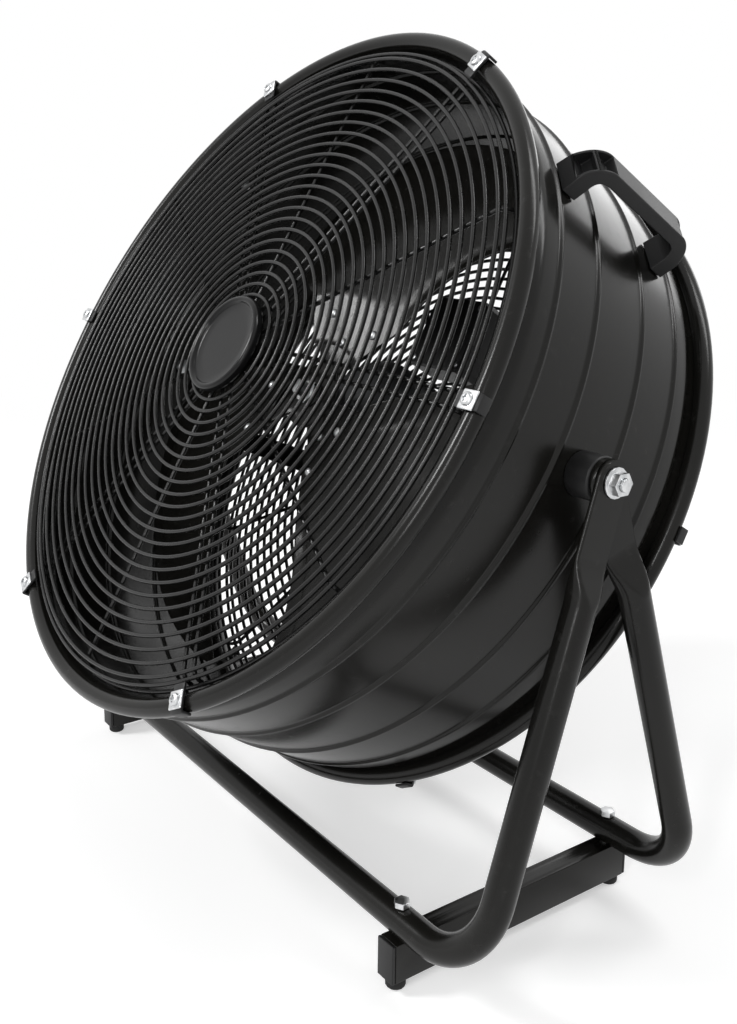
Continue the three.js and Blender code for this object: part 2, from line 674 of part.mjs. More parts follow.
// A box, divided along its span and its chord, bent by a function of (chord, span, thickness).
function bentSheet(chords, spans, place) {
  const box = new THREE.BoxGeometry(1, 1, 1, spans, chords, 1);
  const position = box.attributes.position;
  const point = new THREE.Vector3();
  for (let i = 0; i < position.count; i += 1) {
    point.fromBufferAttribute(position, i);
    const { radius, angle, z } = place(point.y + 0.5, point.x + 0.5, point.z);
    const turn = radians(angle);
    position.setXYZ(i, radius * Math.cos(turn), radius * Math.sin(turn), z);
  }
  return box;
}

// The leading edge sweeps forwards along the span and runs into the tip by a rounded corner.
function blade() {
  const lift = SPIDER_THICKNESS / 2 + GAP + BLADE_THICKNESS / 2;
  const rootShare = 0.25; // of the steps along the span
  return bentSheet(9, 8, (chord, span, through) => {
    const past = Math.max(0, (chord - 0.5) / 0.5);
    const outer = BLADE_TIP - LEADING_CORNER * (1 - Math.sqrt(1 - past ** 2 * 0.98));
    const radius = span < rootShare
      ? THREE.MathUtils.mapLinear(span, 0, rootShare, BLADE_ROOT, seatEnd)
      : THREE.MathUtils.mapLinear(span, rootShare, 1, seatEnd, outer);
    const angle = THREE.MathUtils.lerp(-trailingAngle(radius), leadingAngle(radius), chord);
    const outboard = outboardShare(radius) ** 1.15;
    const fall = outboard * THREE.MathUtils.lerp(TRAILING_FALL, LEADING_FALL, chord);
    const camber = outboard * BLADE_CAMBER * 4 * chord * (1 - chord);
    return { radius, angle, z: seatHeight(radius, angle) - fall + camber + lift + through * BLADE_THICKNESS };
  });
}

function spiderArm() {
  const twistShare = 0.4;
  return bentSheet(4, 5, (chord, span, through) => {
    const side = 2 * chord - 1;
    const end = SPIDER_RADIUS * (1 - SPIDER_ROUNDING * side ** 4);
    const radius = span < twistShare
      ? THREE.MathUtils.mapLinear(span, 0, twistShare, TWIST_START, TWIST_END)
      : THREE.MathUtils.mapLinear(span, twistShare, 1, TWIST_END, end);
    const angle = side * SPIDER_HALF_ANGLE;
    return { radius, angle, z: seatHeight(radius, angle) + through * SPIDER_THICKNESS };
  });
}

function spider() {
  const disc = bar(SPIDER_DISC, -SPIDER_THICKNESS / 2, SPIDER_THICKNESS / 2, 24);
  const arms = Array.from({ length: BLADES }, (_, i) => turned(spiderArm(), (i * 360) / BLADES));
  return cut(join(disc, ...arms), bar(SHAFT_RADIUS + BORE_PLAY, -SPIDER_DISC, SPIDER_DISC, 16));
}
add(rotor, 'rotor_spider', spider(), blackPaint);
for (let i = 0; i < BLADES; i += 1) {
  add(rotor, `blade_${i + 1}`, turned(blade(), (i * 360) / BLADES), blackPaint);
}

const hubFront = -SPIDER_THICKNESS / 2 - GAP;
const hub = revolve([
  [SHAFT_RADIUS + BORE_PLAY, hubFront - HUB_LENGTH],
  [HUB_RADIUS, hubFront - HUB_LENGTH],
  [HUB_RADIUS, hubFront - 5],
  [HUB_FLANGE, hubFront - 4],
  [HUB_FLANGE, hubFront],
  [SHAFT_RADIUS + BORE_PLAY, hubFront],
], 20);
add(rotor, 'rotor_hub', hub, greyCast);

const shaftStart = MOTOR_FRONT - SHAFT_DEPTH + GAP - ROTOR_PLACE;
add(rotor, 'rotor_shaft', bar(SHAFT_RADIUS, shaftStart, SHAFT_NOSE, 16), zinc);

const nutSeat = SPIDER_THICKNESS / 2 + GAP;
const rotorNut = cut(
  bar(ROTOR_NUT_RADIUS, nutSeat, nutSeat + ROTOR_NUT_HEIGHT, 6),
  bar(SHAFT_RADIUS + BORE_PLAY, nutSeat - 1, nutSeat + ROTOR_NUT_HEIGHT + 1, 16),
);
add(rotor, 'rotor_nut', rotorNut, zinc);

// ---------------------------------------------------------------- control box and knob
// The box lies against the inside of the rear guard; the knob's shaft passes between two rings.
const boxCorner = Math.hypot(BOX_WIDTH / 2, BOX_CENTRE + BOX_HEIGHT / 2);
const boxRear = -formed(boxCorner, -GUARD_DEPTH / 2)[1] + GAP;
const ringBelow = FIRST_RING + RING_PITCH * Math.floor((BOX_CENTRE - FIRST_RING) / RING_PITCH);
const knobRing = ringBelow + KNOB_BESIDE;
const knobX = knobRing * Math.sin(radians(KNOB_ANGLE));
const knobY = knobRing * Math.cos(radians(KNOB_ANGLE));

function controlBox() {
  const half = BOX_WIDTH / 2;
  const corner = 6;
  const shape = outline([
    [-half + corner, -BOX_HEIGHT / 2],
    [half - corner, -BOX_HEIGHT / 2],
    [half, -BOX_HEIGHT / 2 + corner],
    [half, BOX_HEIGHT / 2 - corner],
    [half - corner, BOX_HEIGHT / 2],
    [-half + corner, BOX_HEIGHT / 2],
    [-half, BOX_HEIGHT / 2 - corner],
    [-half, -BOX_HEIGHT / 2 + corner],
  ]);
  const box = new THREE.ExtrudeGeometry(shape, { depth: BOX_DEPTH, bevelEnabled: false })
    .translate(0, BOX_CENTRE, boxRear);
  const shaftHole = bar(KNOB_SHAFT + BORE_PLAY, boxRear - PAST, boxRear + KNOB_SHAFT_DEPTH + GAP, 12)
    .translate(knobX, knobY, 0);
  return cut(box, shaftHole);
}
add(drum, 'control_box', controlBox(), blackPlastic);

const knobFace = -(GUARD_Z + GUARD_DEPTH / 2) - KNOB_RUN;
const knobBody = revolve([
  [0, knobFace - KNOB_HEIGHT],
  [KNOB_RADIUS - 5, knobFace - KNOB_HEIGHT],
  [KNOB_RADIUS - 3.5, knobFace - KNOB_HEIGHT + 1.5],
  [KNOB_RADIUS - 2, knobFace - 3],
  [KNOB_RADIUS, knobFace - 2],
  [KNOB_RADIUS, knobFace],
  [0, knobFace],
], 20);
const knobShaft = bar(KNOB_SHAFT, knobFace - 1, boxRear + KNOB_SHAFT_DEPTH, 12);
add(drum, 'speed_knob', join(knobBody, knobShaft).translate(knobX, knobY, 0), blackPlastic);

// ---------------------------------------------------------------- stand tubes
// One round tube bent to a U. Each end is pressed flat, rounded off and drilled for the pivot bolt. Its
// stations are distances along the centre line, from the plate's round end to the middle of the cross tube.
const legStraight = LEG_LENGTH - BEND_RADIUS;
const bendLength = (Math.PI / 2) * BEND_RADIUS;
const tubeHalf = PLATE_HALF_WIDTH + legStraight + bendLength + LEG_X - BEND_RADIUS;
const blendStart = PLATE_HALF_WIDTH + PLATE_LENGTH;

function tubeStations(start) {
  const tip = [0.007, 0.09, 0.3, 0.6, 1].map((part) => part * PLATE_HALF_WIDTH);
  const blend = [0, 0.2, 0.4, 0.6, 0.8, 1].map((part) => blendStart + part * PLATE_BLEND);
  const bend = Array.from({ length: TUBE_BEND + 1 }, (_, i) =>
    PLATE_HALF_WIDTH + legStraight + (i / TUBE_BEND) * bendLength);
  const toMiddle = [...tip, ...blend, ...bend].filter((s) => s >= start);
  return [...toMiddle, ...toMiddle.map((s) => 2 * tubeHalf - s).reverse()];
}

// The tube's surface between its first and last station, or one that lies `inset` under it.
function tubeForm(end, plateX, stations, inset) {
  const fall = new THREE.Vector3(0, end * CROSS_REACH, CROSS_HEIGHT - PIVOT_HEIGHT).normalize();
  const across = new THREE.Vector3(1, 0, 0);
  const normal = new THREE.Vector3().crossVectors(across, fall);
  const tube = new THREE.CylinderGeometry(1, 1, 1, TUBE_SIDES, stations.length - 1);
  const position = tube.attributes.position;
  for (let i = 0; i < position.count; i += 1) {
    const step = Math.round((0.5 - position.getY(i)) * (stations.length - 1));
    const whole = stations[step];
    const side = whole > tubeHalf ? 1 : -1;
    const s = Math.min(whole, 2 * tubeHalf - whole);
    // the centre line, in the plane of the U
    let x = LEG_X;
    let down = s - PLATE_HALF_WIDTH;
    const turn = THREE.MathUtils.clamp((down - legStraight) / BEND_RADIUS, 0, Math.PI / 2);
    if (turn > 0) {
      x = LEG_X - BEND_RADIUS * (1 - Math.cos(turn));
      down = legStraight + BEND_RADIUS * Math.sin(turn);
    }
    // the section: round, or pressed flat with a round end
    const flat = 1 - THREE.MathUtils.smoothstep(s, blendStart, blendStart + PLATE_BLEND);
    x += flat * (plateX - LEG_X);
    const thick = THREE.MathUtils.lerp(TUBE_RADIUS, PLATE_THICKNESS / 2, flat) - inset;
    const endPart = Math.min(1, s / PLATE_HALF_WIDTH);
    const endWidth = PLATE_HALF_WIDTH * Math.sqrt(1 - (1 - endPart) ** 2);
    const wide = THREE.MathUtils.lerp(TUBE_RADIUS, endWidth, flat) - inset;
    const angle = Math.atan2(position.getX(i), position.getZ(i));
    const reach = Math.hypot(position.getX(i), position.getZ(i)) > 0.5 ? 1 : 0;
    const squared = THREE.MathUtils.clamp(Math.cos(angle) * (1 + SQUARED_EDGE * flat), -1, 1);
    const outwards = reach * thick * squared;
    const sideways = reach * wide * Math.sin(angle);
    const centre = new THREE.Vector3(side * (x + outwards * Math.cos(turn)), 0, 0)
      .addScaledVector(fall, down + outwards * Math.sin(turn))
      .addScaledVector(normal, -sideways);
    position.setXYZ(i, centre.x, centre.y, centre.z + PIVOT_HEIGHT);
  }
  return tube;
}

// The tube is hollow up to the start of its flattened ends, and its bolt holes open the hollow.
function standTube(end, plateX) {
  const tube = tubeForm(end, plateX, tubeStations(0), 0);
  const hollowStart = blendStart + PLATE_BLEND * HOLLOW_SHARE;
  const hollow = tubeForm(end, plateX, tubeStations(hollowStart), TUBE_WALL);
  const pivotHoles = SIDES.map(([, side]) =>
    alongX(bar(bore, plateX - PLATE_THICKNESS, plateX + PLATE_THICKNESS, 12), side).translate(0, 0, PIVOT_HEIGHT));
  const reach = TUBE_RADIUS + PAST;
  const boltHoles = SIDES.map(([, side]) =>
    bar(SKID_BOLT_RADIUS + BORE_PLAY, CROSS_HEIGHT - reach, CROSS_HEIGHT + reach, 10)
      .translate(side * SKID_OFFSET, end * CROSS_REACH, 0));
  return cut(tube, hollow, ...pivotHoles, ...boltHoles);
}
add(stand, 'front_stand_tube', standTube(-1, FRONT_PLATE_X), blackPaint);
add(stand, 'rear_stand_tube', standTube(1, REAR_PLATE_X), blackPaint);

// ---------------------------------------------------------------- skids, caps, feet and bolts
function boxAt(width, length, height, y, z) {
  return new THREE.BoxGeometry(width, length, height).translate(0, y, z);
}

const skidMiddle = FOOT_HEIGHT + SKID_HEIGHT / 2;
const skidTubeHalf = SKID_LENGTH / 2 - END_CAP - GAP;

function skid() {
  const hollow = boxAt(SKID_WIDTH - 2 * SKID_WALL, SKID_LENGTH, SKID_HEIGHT - 2 * SKID_WALL, 0, skidMiddle);
  const holes = ENDS.map(([, end]) =>
    bar(SKID_BOLT_RADIUS + BORE_PLAY, skidMiddle, skidMiddle + SKID_HEIGHT, 10).translate(0, end * CROSS_REACH, 0));
  return cut(boxAt(SKID_WIDTH, 2 * skidTubeHalf, SKID_HEIGHT, 0, skidMiddle), hollow, ...holes);
}

function endCap(end) {
  const plate = boxAt(SKID_WIDTH, END_CAP, SKID_HEIGHT, end * (SKID_LENGTH - END_CAP) / 2, skidMiddle);
  const inset = 2 * (SKID_WALL + GAP);
  const plugStart = CROSS_REACH + SKID_BOLT_RADIUS + PLUG_TO_BOLT;
  const plugEnd = (SKID_LENGTH - END_CAP) / 2;
  const plugMiddle = (plugStart + plugEnd) / 2;
  const plugLength = plugEnd - plugStart;
  const plug = boxAt(SKID_WIDTH - inset, plugLength, SKID_HEIGHT - inset, end * plugMiddle, skidMiddle);
  return join(plate, plug);
}

function foot(end) {
  const top = FOOT_HEIGHT - GAP;
  return revolve([
    [0, 0],
    [FOOT_RADIUS - 1.5, 0],
    [FOOT_RADIUS, 1.5],
    [FOOT_RADIUS, top],
    [0, top],
  ], 16).translate(0, end * (SKID_LENGTH / 2 - FOOT_INSET), 0);
}

function skidBolt(end) {
  const seat = CROSS_HEIGHT + TUBE_RADIUS + GAP;
  const head = bar(SKID_BOLT_HEAD, seat, seat + SKID_BOLT_HEAD_HEIGHT, 6);
  const shank = bar(SKID_BOLT_RADIUS, FOOT_HEIGHT + SKID_HEIGHT - SKID_BOLT_DEPTH, seat + 1, 8);
  return join(head, shank).translate(0, end * CROSS_REACH, 0);
}

for (const [sideName, side] of SIDES) {
  const row = new THREE.Group();
  row.position.x = side * SKID_OFFSET;
  stand.add(row);
  add(row, `skid_${sideName}`, skid(), blackPaint);
  for (const [endName, end] of ENDS) {
    add(row, `skid_cap_${endName}_${sideName}`, endCap(end), blackPlastic);
    add(row, `foot_${endName}_${sideName}`, foot(end), blackRubber);
    add(row, `skid_bolt_${endName}_${sideName}`, skidBolt(end), zinc);
  }
}

export default fan;
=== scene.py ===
# A drum fan: a beaded steel drum between two wire guards, tilting in a stand of two bent tubes.
# Sizes are in millimetres on the drum or on the floor, and a piece's mesh is brought to metres last.
from math import atan2, cos, hypot, pi, radians, sin, sqrt

import bmesh
import bpy
from mathutils import Matrix, Vector


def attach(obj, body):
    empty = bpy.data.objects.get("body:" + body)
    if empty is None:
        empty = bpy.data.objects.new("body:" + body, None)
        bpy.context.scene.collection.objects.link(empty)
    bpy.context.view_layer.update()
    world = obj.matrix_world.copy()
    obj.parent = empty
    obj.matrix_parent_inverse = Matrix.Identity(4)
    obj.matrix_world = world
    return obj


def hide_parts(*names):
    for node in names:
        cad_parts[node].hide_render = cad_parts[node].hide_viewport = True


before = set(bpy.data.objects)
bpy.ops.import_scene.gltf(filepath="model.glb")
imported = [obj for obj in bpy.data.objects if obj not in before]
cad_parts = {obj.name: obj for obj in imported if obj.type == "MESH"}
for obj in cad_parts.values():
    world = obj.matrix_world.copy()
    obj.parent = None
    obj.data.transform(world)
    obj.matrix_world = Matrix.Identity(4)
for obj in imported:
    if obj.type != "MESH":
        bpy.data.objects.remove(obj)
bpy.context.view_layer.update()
scene = bpy.context.scene
scene.view_settings.view_transform = "Standard"


# ------------------------------------------------------------------------------------- camera
# It stands to the right of the fan at the height of the drum's top and looks a little down, so that
# the open face, the right-hand pivot and both legs show.
def placed(name, data):
    """A new object in the scene."""
    made = bpy.data.objects.new(name, data)
    scene.collection.objects.link(made)
    return made


camera_place = Vector((0.8993, -0.6218, 0.6205))
yaw, pitch, roll = radians(54.59), radians(-11.71), radians(0.39)
forward = Vector((-sin(yaw) * cos(pitch), cos(yaw) * cos(pitch), sin(pitch)))
level = Vector((cos(yaw), sin(yaw), 0))
upright = level.cross(forward)
right = cos(roll) * level + sin(roll) * upright
up = cos(roll) * upright - sin(roll) * level

lens = bpy.data.cameras.new("camera")
lens.lens = 39.93
lens.sensor_width = 36
lens.shift_x = 0.0194
lens.shift_y = -0.0803
camera = placed("camera", lens)
camera_axes = Matrix((right, up, -forward)).transposed().to_4x4()
camera.matrix_world = Matrix.Translation(camera_place) @ camera_axes
scene.camera = camera


# --------------------------------------------------------------------------- floor and light
# A seamless white floor that keeps the fan's shadow, soft boxes over it, and a white surround that the
# paint and the bright metal reflect.
class Value:
    """One output of a node. Arithmetic on it adds Math nodes to its tree."""

    def __init__(self, socket):
        self.socket = socket

    def output(self, name):
        """Another output of the same node."""
        return Value(next(s for s in self.socket.node.outputs if name in (s.identifier, s.name)))

    def maths(self, operation, *others, swapped=False):
        values = (*others, self) if swapped else (self, *others)
        return grow(self.socket.id_data, "ShaderNodeMath", {"operation": operation}, dict(enumerate(values)))

    def __add__(self, other):
        return self.maths("ADD", other)

    def __sub__(self, other):
        return self.maths("SUBTRACT", other)

    def __rsub__(self, other):
        return self.maths("SUBTRACT", other, swapped=True)

    def __mul__(self, other):
        return self.maths("MULTIPLY", other)

    def __truediv__(self, other):
        return self.maths("DIVIDE", other)

    def __pow__(self, other):
        return self.maths("POWER", other)

    __radd__ = __add__
    __rmul__ = __mul__


def grow(tree, kind, settings=None, sockets=None):
    """A new node with its settings made first, then its sockets' values and links."""
    made = tree.nodes.new(kind)
    for key, value in (settings or {}).items():
        if key == "stops":
            ramp = made.color_ramp.elements
            while len(ramp) < len(value):
                ramp.new(0.5)
            for stop, (place, colour) in zip(ramp, value):
                stop.position = place
                stop.color = (*colour, 1)
        else:
            setattr(made, key, value)
    for key, value in (sockets or {}).items():
        socket = made.inputs[key] if isinstance(key, int) else next(
            s for s in made.inputs if key in (s.identifier, s.name))
        if isinstance(value, Value):
            tree.links.new(value.socket, socket)
        else:
            socket.default_value = value
    return Value(made.outputs[0]) if made.outputs else None


def on_rays(tree, *names):
    """1 on the rays that are named and 0 on all others."""
    path = grow(tree, "ShaderNodeLightPath")
    seen = path.output(names[0])
    for name in names[1:]:
        seen = seen.maths("MAXIMUM", path.output(name))
    return seen


white = (1, 1, 1, 1)
ambient_light = 0.4
world = bpy.data.worlds.new("surround")
scene.world = world
world.use_nodes = True
tree = world.node_tree
tree.nodes.clear()
seen = on_rays(tree, "Is Camera Ray", "Is Glossy Ray", "Is Transmission Ray")
surround = grow(tree, "ShaderNodeBackground", sockets={
    "Color": white, "Strength": ambient_light + (1 - ambient_light) * seen})
grow(tree, "ShaderNodeOutputWorld", sockets={"Surface": surround})

# The floor is lit cloth under the fan and fades to plain white away from it.
floor_half, fade_start, fade_end = 7, 0.9, 2.6
cloth_white, floor_lift = 0.8, 0.42
floor_corners = [(x * floor_half, y * floor_half, 0) for x, y in ((-1, -1), (1, -1), (1, 1), (-1, 1))]
floor_mesh = bpy.data.meshes.new("floor")
floor_mesh.from_pydata(floor_corners, [], [(0, 1, 2, 3)])
floor_material = bpy.data.materials.new("white floor")
floor_material.use_nodes = True
tree = floor_material.node_tree
tree.nodes.clear()
seen = on_rays(tree, "Is Camera Ray", "Is Glossy Ray")
spot = grow(tree, "ShaderNodeTexCoord").output("Object")
distance = grow(tree, "ShaderNodeVectorMath", {"operation": "LENGTH"}, {0: spot}).output("Value")
away = grow(tree, "ShaderNodeMapRange", {"interpolation_type": "SMOOTHSTEP"}, {
    "Value": distance, "From Min": fade_start, "From Max": fade_end})
cloth = grow(tree, "ShaderNodeBsdfDiffuse", sockets={"Color": (cloth_white, cloth_white, cloth_white, 1)})
glow = grow(tree, "ShaderNodeEmission", sockets={"Color": white, "Strength": 1.0})
faded = grow(tree, "ShaderNodeMixShader", sockets={0: away * seen, 1: cloth, 2: glow})
lift = grow(tree, "ShaderNodeEmission", sockets={"Strength": (1 - away) * seen * floor_lift})
lifted = grow(tree, "ShaderNodeAddShader", sockets={0: faded, 1: lift})
grow(tree, "ShaderNodeOutputMaterial", sockets={"Surface": lifted})
floor_mesh.materials.append(floor_material)
placed("floor", floor_mesh)

for name, place, target, width, height, watts in (
        ("key box", (-1.3, -2.3, 2.3), (0, 0, 0.35), 0.7, 0.7, 56),
        ("top box", (0.9, 0.9, 2.5), (0, 0, 0.5), 0.4, 1.6, 20),
        ("rear box", (-0.6, 2.3, 1.15), (0.1, 0, 0.6), 1.4, 0.7, 5),
        ("right strip", (1.5, -2.1, 1.35), (0.1, 0, 0.4), 0.22, 1.5, 22)):
    lamp = bpy.data.lights.new(name, "AREA")
    lamp.shape = "RECTANGLE"
    lamp.size = width
    lamp.size_y = height
    lamp.energy = watts
    aim = (Vector(target) - Vector(place)).to_track_quat("-Z", "Y")
    placed(name, lamp).matrix_world = Matrix.Translation(place) @ aim.to_matrix().to_4x4()

# ------------------------------------------------------------------------------- drum shell
# One sheet of steel, rolled to a barrel with four pressed beads, necked in and rolled over at both
# mouths, and powder-coated satin black inside and out.
pivot_height = 416.527
tilt = 30.5
metres = Matrix.Scale(0.001, 4)
drum_lift = Matrix.Translation((0, 0, pivot_height / 1000))
drum_frame = drum_lift @ Matrix.Rotation(radians(90 - tilt), 4, "X") @ metres
rear_frame = drum_frame @ Matrix.Rotation(pi, 4, "Y")


class Finish:
    """A material on the Object coordinates. What varies is grown first, then the surface takes it."""

    def __init__(self, name):
        self.material = bpy.data.materials.new(name)
        self.material.use_nodes = True
        self.tree = self.material.node_tree
        self.tree.nodes.clear()
        self.place = self.grow("ShaderNodeTexCoord").output("Object")

    def grow(self, kind, settings=None, sockets=None):
        return grow(self.tree, kind, settings, sockets)

    def noise(self, size, detail):
        """Noise from 0 to 1, with patches of a size in millimetres."""
        return self.grow("ShaderNodeTexNoise", sockets={
            "Vector": self.place, "Scale": 1000 / size, "Detail": detail})

    def ramp(self, value, *stops):
        return self.grow("ShaderNodeValToRGB", {"stops": stops}, {"Fac": value})

    def bump(self, height, strength, depth):
        """A normal from a height of 0 to 1, with its depth in millimetres."""
        return self.grow("ShaderNodeBump", sockets={
            "Height": height, "Strength": strength, "Distance": depth / 1000})

    def surface(self, **sockets):
        named = {key.replace("_", " "): value for key, value in sockets.items()}
        shader = self.grow("ShaderNodeBsdfPrincipled", sockets=named)
        self.grow("ShaderNodeOutputMaterial", sockets={"Surface": shader})
        return self.material


# Baked satin powder: cloudy gloss, a fine orange peel and a trace of dust.
finish = Finish("satin black powder coat")
cloud = finish.noise(170, 3)
peel = finish.noise(2.6, 1)
dust = finish.ramp(finish.noise(9, 6), (0.6, (0, 0, 0)), (0.8, (1, 1, 1)))
powder = finish.ramp(cloud, (0.3, (0.0052, 0.005, 0.0044)), (0.75, (0.0085, 0.0081, 0.007)))
dusty = finish.grow("ShaderNodeMix", {"data_type": "RGBA"}, {
    "Factor_Float": dust * 0.05, "A_Color": powder, "B_Color": (0.16, 0.155, 0.15, 1)})
black_paint = finish.surface(
    Base_Color=dusty.output("Result_Color"), Roughness=0.22 + (cloud - 0.5) * 0.1 + dust * 0.08,
    Normal=finish.bump(peel, 0.14, 0.1), Specular_IOR_Level=0.22)


def smoothed(mesh, place=Matrix(), crease=None):
    """A mesh brought to its place, smooth up to the edges that are harder than a crease in degrees."""
    mesh.transform(place)
    mesh.shade_smooth()
    if crease:
        mesh.set_sharp_from_angle(angle=radians(crease))
    return mesh


def finished(shape, place=Matrix(), crease=None):
    """The same for a bmesh, which ends here."""
    mesh = bpy.data.meshes.new("made")
    shape.to_mesh(mesh)
    shape.free()
    return smoothed(mesh, place, crease)


def drawn(points, faces):
    """A bmesh of points and faces."""
    mesh = bpy.data.meshes.new("drawn")
    mesh.from_pydata([tuple(point) for point in points], [], faces)
    shape = bmesh.new()
    shape.from_mesh(mesh)
    bpy.data.meshes.remove(mesh)
    return shape


def solid_mesh(points, faces, place, crease):
    """A closed mesh at its place, with its faces outwards."""
    shape = drawn(points, faces)
    if shape.calc_volume(signed=True) < 0:
        bmesh.ops.reverse_faces(shape, faces=shape.faces)
    return finished(shape, place, crease)


def skin(rings, loop=False):
    """Points and faces between successive rings. A ring of one point is a pole."""
    starts = [sum(len(ring) for ring in rings[:i]) for i in range(len(rings))]
    pairs = list(zip(range(len(rings)), range(1, len(rings))))
    if loop:
        pairs.append((len(rings) - 1, 0))
    faces = []
    for a, b in pairs:
        count = max(len(rings[a]), len(rings[b]))
        for i in range(count):
            j = (i + 1) % count
            corners = (
                starts[a] + i % len(rings[a]), starts[a] + j % len(rings[a]),
                starts[b] + j % len(rings[b]), starts[b] + i % len(rings[b]))
            faces.append(tuple(dict.fromkeys(corners)))
    return [point for ring in rings for point in ring], faces


def circle(radius, along, count):
    """Points round the axis."""
    angles = [2 * pi * i / count for i in range(count)]
    return [(radius * cos(angle), radius * sin(angle), along) for angle in angles]


def turned(profile, segments, place, crease, loop=False):
    """A profile of (radius, place along the axis), turned about the axis."""
    rings = [circle(radius, along, segments if radius > 1e-6 else 1) for radius, along in profile]
    return solid_mesh(*skin(rings, loop), place, crease)


def piece(name, mesh, body, material, slot, *nodes):
    """An object that rides on a body and stands for its CAD nodes."""
    mesh.name = name
    made = placed(name, mesh)
    mesh.materials.clear()
    mesh.materials.append(material)
    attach(made, body)
    if nodes:
        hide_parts(*nodes)
    return made


def eased(value, start, end):
    """A smooth step from 0 at the start to 1 at the end."""
    t = min(1, max(0, (value - start) / (end - start)))
    return 3 * t * t - 2 * t ** 3


barrel_radius, barrel_inside, barrel_end = 325, 323.5, 97
neck_radius, neck_inside, neck_start, neck_end, lining_end = 319, 317.5, 98, 112, 119
rim_radius, rim_place, rim_curl = 327, 122.5, 8
bead_places, bead_rise, bead_half, bead_foot = (-80, -31, 31, 80), 2.3, 3.4, 1.2


def barrel_side(radius):
    """The barrel's surface from rear to front, over its beads, on one side of the sheet."""
    line = [(radius, -barrel_end)]
    for bead in bead_places:
        line.append((radius, bead - bead_half - bead_foot))
        for i in range(9):
            across = -1 + i / 4
            line.append((radius + bead_rise * (0.5 + 0.5 * cos(across * pi)), bead + across * bead_half))
        line.append((radius, bead + bead_half + bead_foot))
    return [*line, (radius, barrel_end)]


def neck(start, end, from_radius, to_radius):
    """The smooth step between the barrel and its neck, without its ends."""
    return [
        (from_radius + (to_radius - from_radius) * eased(t, 0, 1), start + (end - start) * t)
        for t in (i / 6 for i in range(1, 6))]


curl_angles = [radians(a) for a in range(225, 541, 15)]
front_end = [
    *neck(neck_start, neck_end, barrel_radius, neck_radius),
    *[(rim_radius + rim_curl * cos(a), rim_place + rim_curl * sin(a)) for a in curl_angles],
    (neck_inside, lining_end), (neck_inside, neck_end + 1),
    *neck(neck_end, neck_start, neck_inside, barrel_inside)]
rear_end = [(radius, -along) for radius, along in front_end]
shell_profile = [*barrel_side(barrel_radius), *front_end, *barrel_side(barrel_inside)[::-1], *rear_end[::-1]]
piece("drum_barrel", turned(shell_profile, 180, drum_frame, 50, loop=True),
      "drum", black_paint, "black_paint", "drum_shell")

# ------------------------------------------------------------------------------ wire guards
# Round steel wire, bent to rings and welded onto radial wires that turn back into the drum's neck, then
# dip-coated black. At the front the radial wires stand in pairs at the clips.
wire, wire_sides, ring_steps = 3.8, 8, 168

# A thicker, glossier dip coating that pools a little along the wires.
finish = Finish("black dip-coated wire")
pool = finish.noise(14, 3)
fine = finish.noise(1.6, 1)
black_wire = finish.surface(
    Base_Color=finish.ramp(pool, (0.3, (0.005, 0.005, 0.005)), (0.7, (0.0095, 0.0093, 0.009))),
    Roughness=0.26 + (pool - 0.5) * 0.16, Normal=finish.bump(fine, 0.1, 0.08), Specular_IOR_Level=0.3)


def geometry_tree(name, inputs):
    """A Geometry Nodes tree with a geometry in and out, and its group input with the named inputs."""
    tree = bpy.data.node_groups.new(name, "GeometryNodeTree")
    tree.interface.new_socket("Geometry", in_out="INPUT", socket_type="NodeSocketGeometry")
    for label, kind in inputs.items():
        tree.interface.new_socket(label, in_out="INPUT", socket_type=f"NodeSocket{kind}")
    tree.interface.new_socket("Geometry", in_out="OUTPUT", socket_type="NodeSocketGeometry")
    return tree, grow(tree, "NodeGroupInput")


def numbered_points(tree, count):
    """Points at the origin, and their numbers from 0."""
    line = grow(tree, "GeometryNodeMeshLine", sockets={"Count": count, "Offset": (0, 0, 0)})
    return line, grow(tree, "GeometryNodeInputIndex")


def end_in_pieces(tree, source, geometry):
    """Ends a tree: the instances made real, in the material that the tree was given."""
    real = grow(tree, "GeometryNodeRealizeInstances", sockets={"Geometry": geometry})
    coated = grow(tree, "GeometryNodeSetMaterial", sockets={
        "Geometry": real, "Material": source.output("Material")})
    grow(tree, "NodeGroupOutput", sockets={"Geometry": coated})


def end_in_wire(tree, source, points, places, path, **sizes):
    """Ends a tree: the path copied to the places of the points and made round wire."""
    points = grow(tree, "GeometryNodeSetPosition", sockets={"Geometry": points, "Position": places})
    copies = grow(tree, "GeometryNodeInstanceOnPoints", sockets={
        "Points": points, "Instance": path, **sizes})
    paths = grow(tree, "GeometryNodeRealizeInstances", sockets={"Geometry": copies})
    section = grow(tree, "GeometryNodeCurvePrimitiveCircle", sockets={
        "Resolution": wire_sides, "Radius": source.output("Wire Radius")})
    end_in_pieces(tree, source, grow(tree, "GeometryNodeCurveToMesh", sockets={
        "Curve": paths, "Profile Curve": section, "Fill Caps": True}))


def evaluated_mesh(made):
    """The mesh that an object's modifiers make of it."""
    bpy.context.view_layer.update()
    return bpy.data.meshes.new_from_object(made.evaluated_get(bpy.context.evaluated_depsgraph_get()))


def grown(tree, values, source_mesh, place, crease):
    """The mesh that a tree makes of a source with these inputs, brought to its place."""
    holder = placed(tree.name, source_mesh)
    modifier = holder.modifiers.new(tree.name, "NODES")
    modifier.node_group = tree
    for item in tree.interface.items_tree:
        if item.item_type == "SOCKET" and item.in_out == "INPUT" and item.name in values:
            modifier[item.identifier] = values[item.name]
    mesh = evaluated_mesh(holder)
    holder.modifiers.clear()
    bpy.data.objects.remove(holder)
    return smoothed(mesh, place, crease)


def joined(*meshes):
    """Several meshes as one."""
    whole = bmesh.new()
    for mesh in meshes:
        whole.from_mesh(mesh)
    return finished(whole)


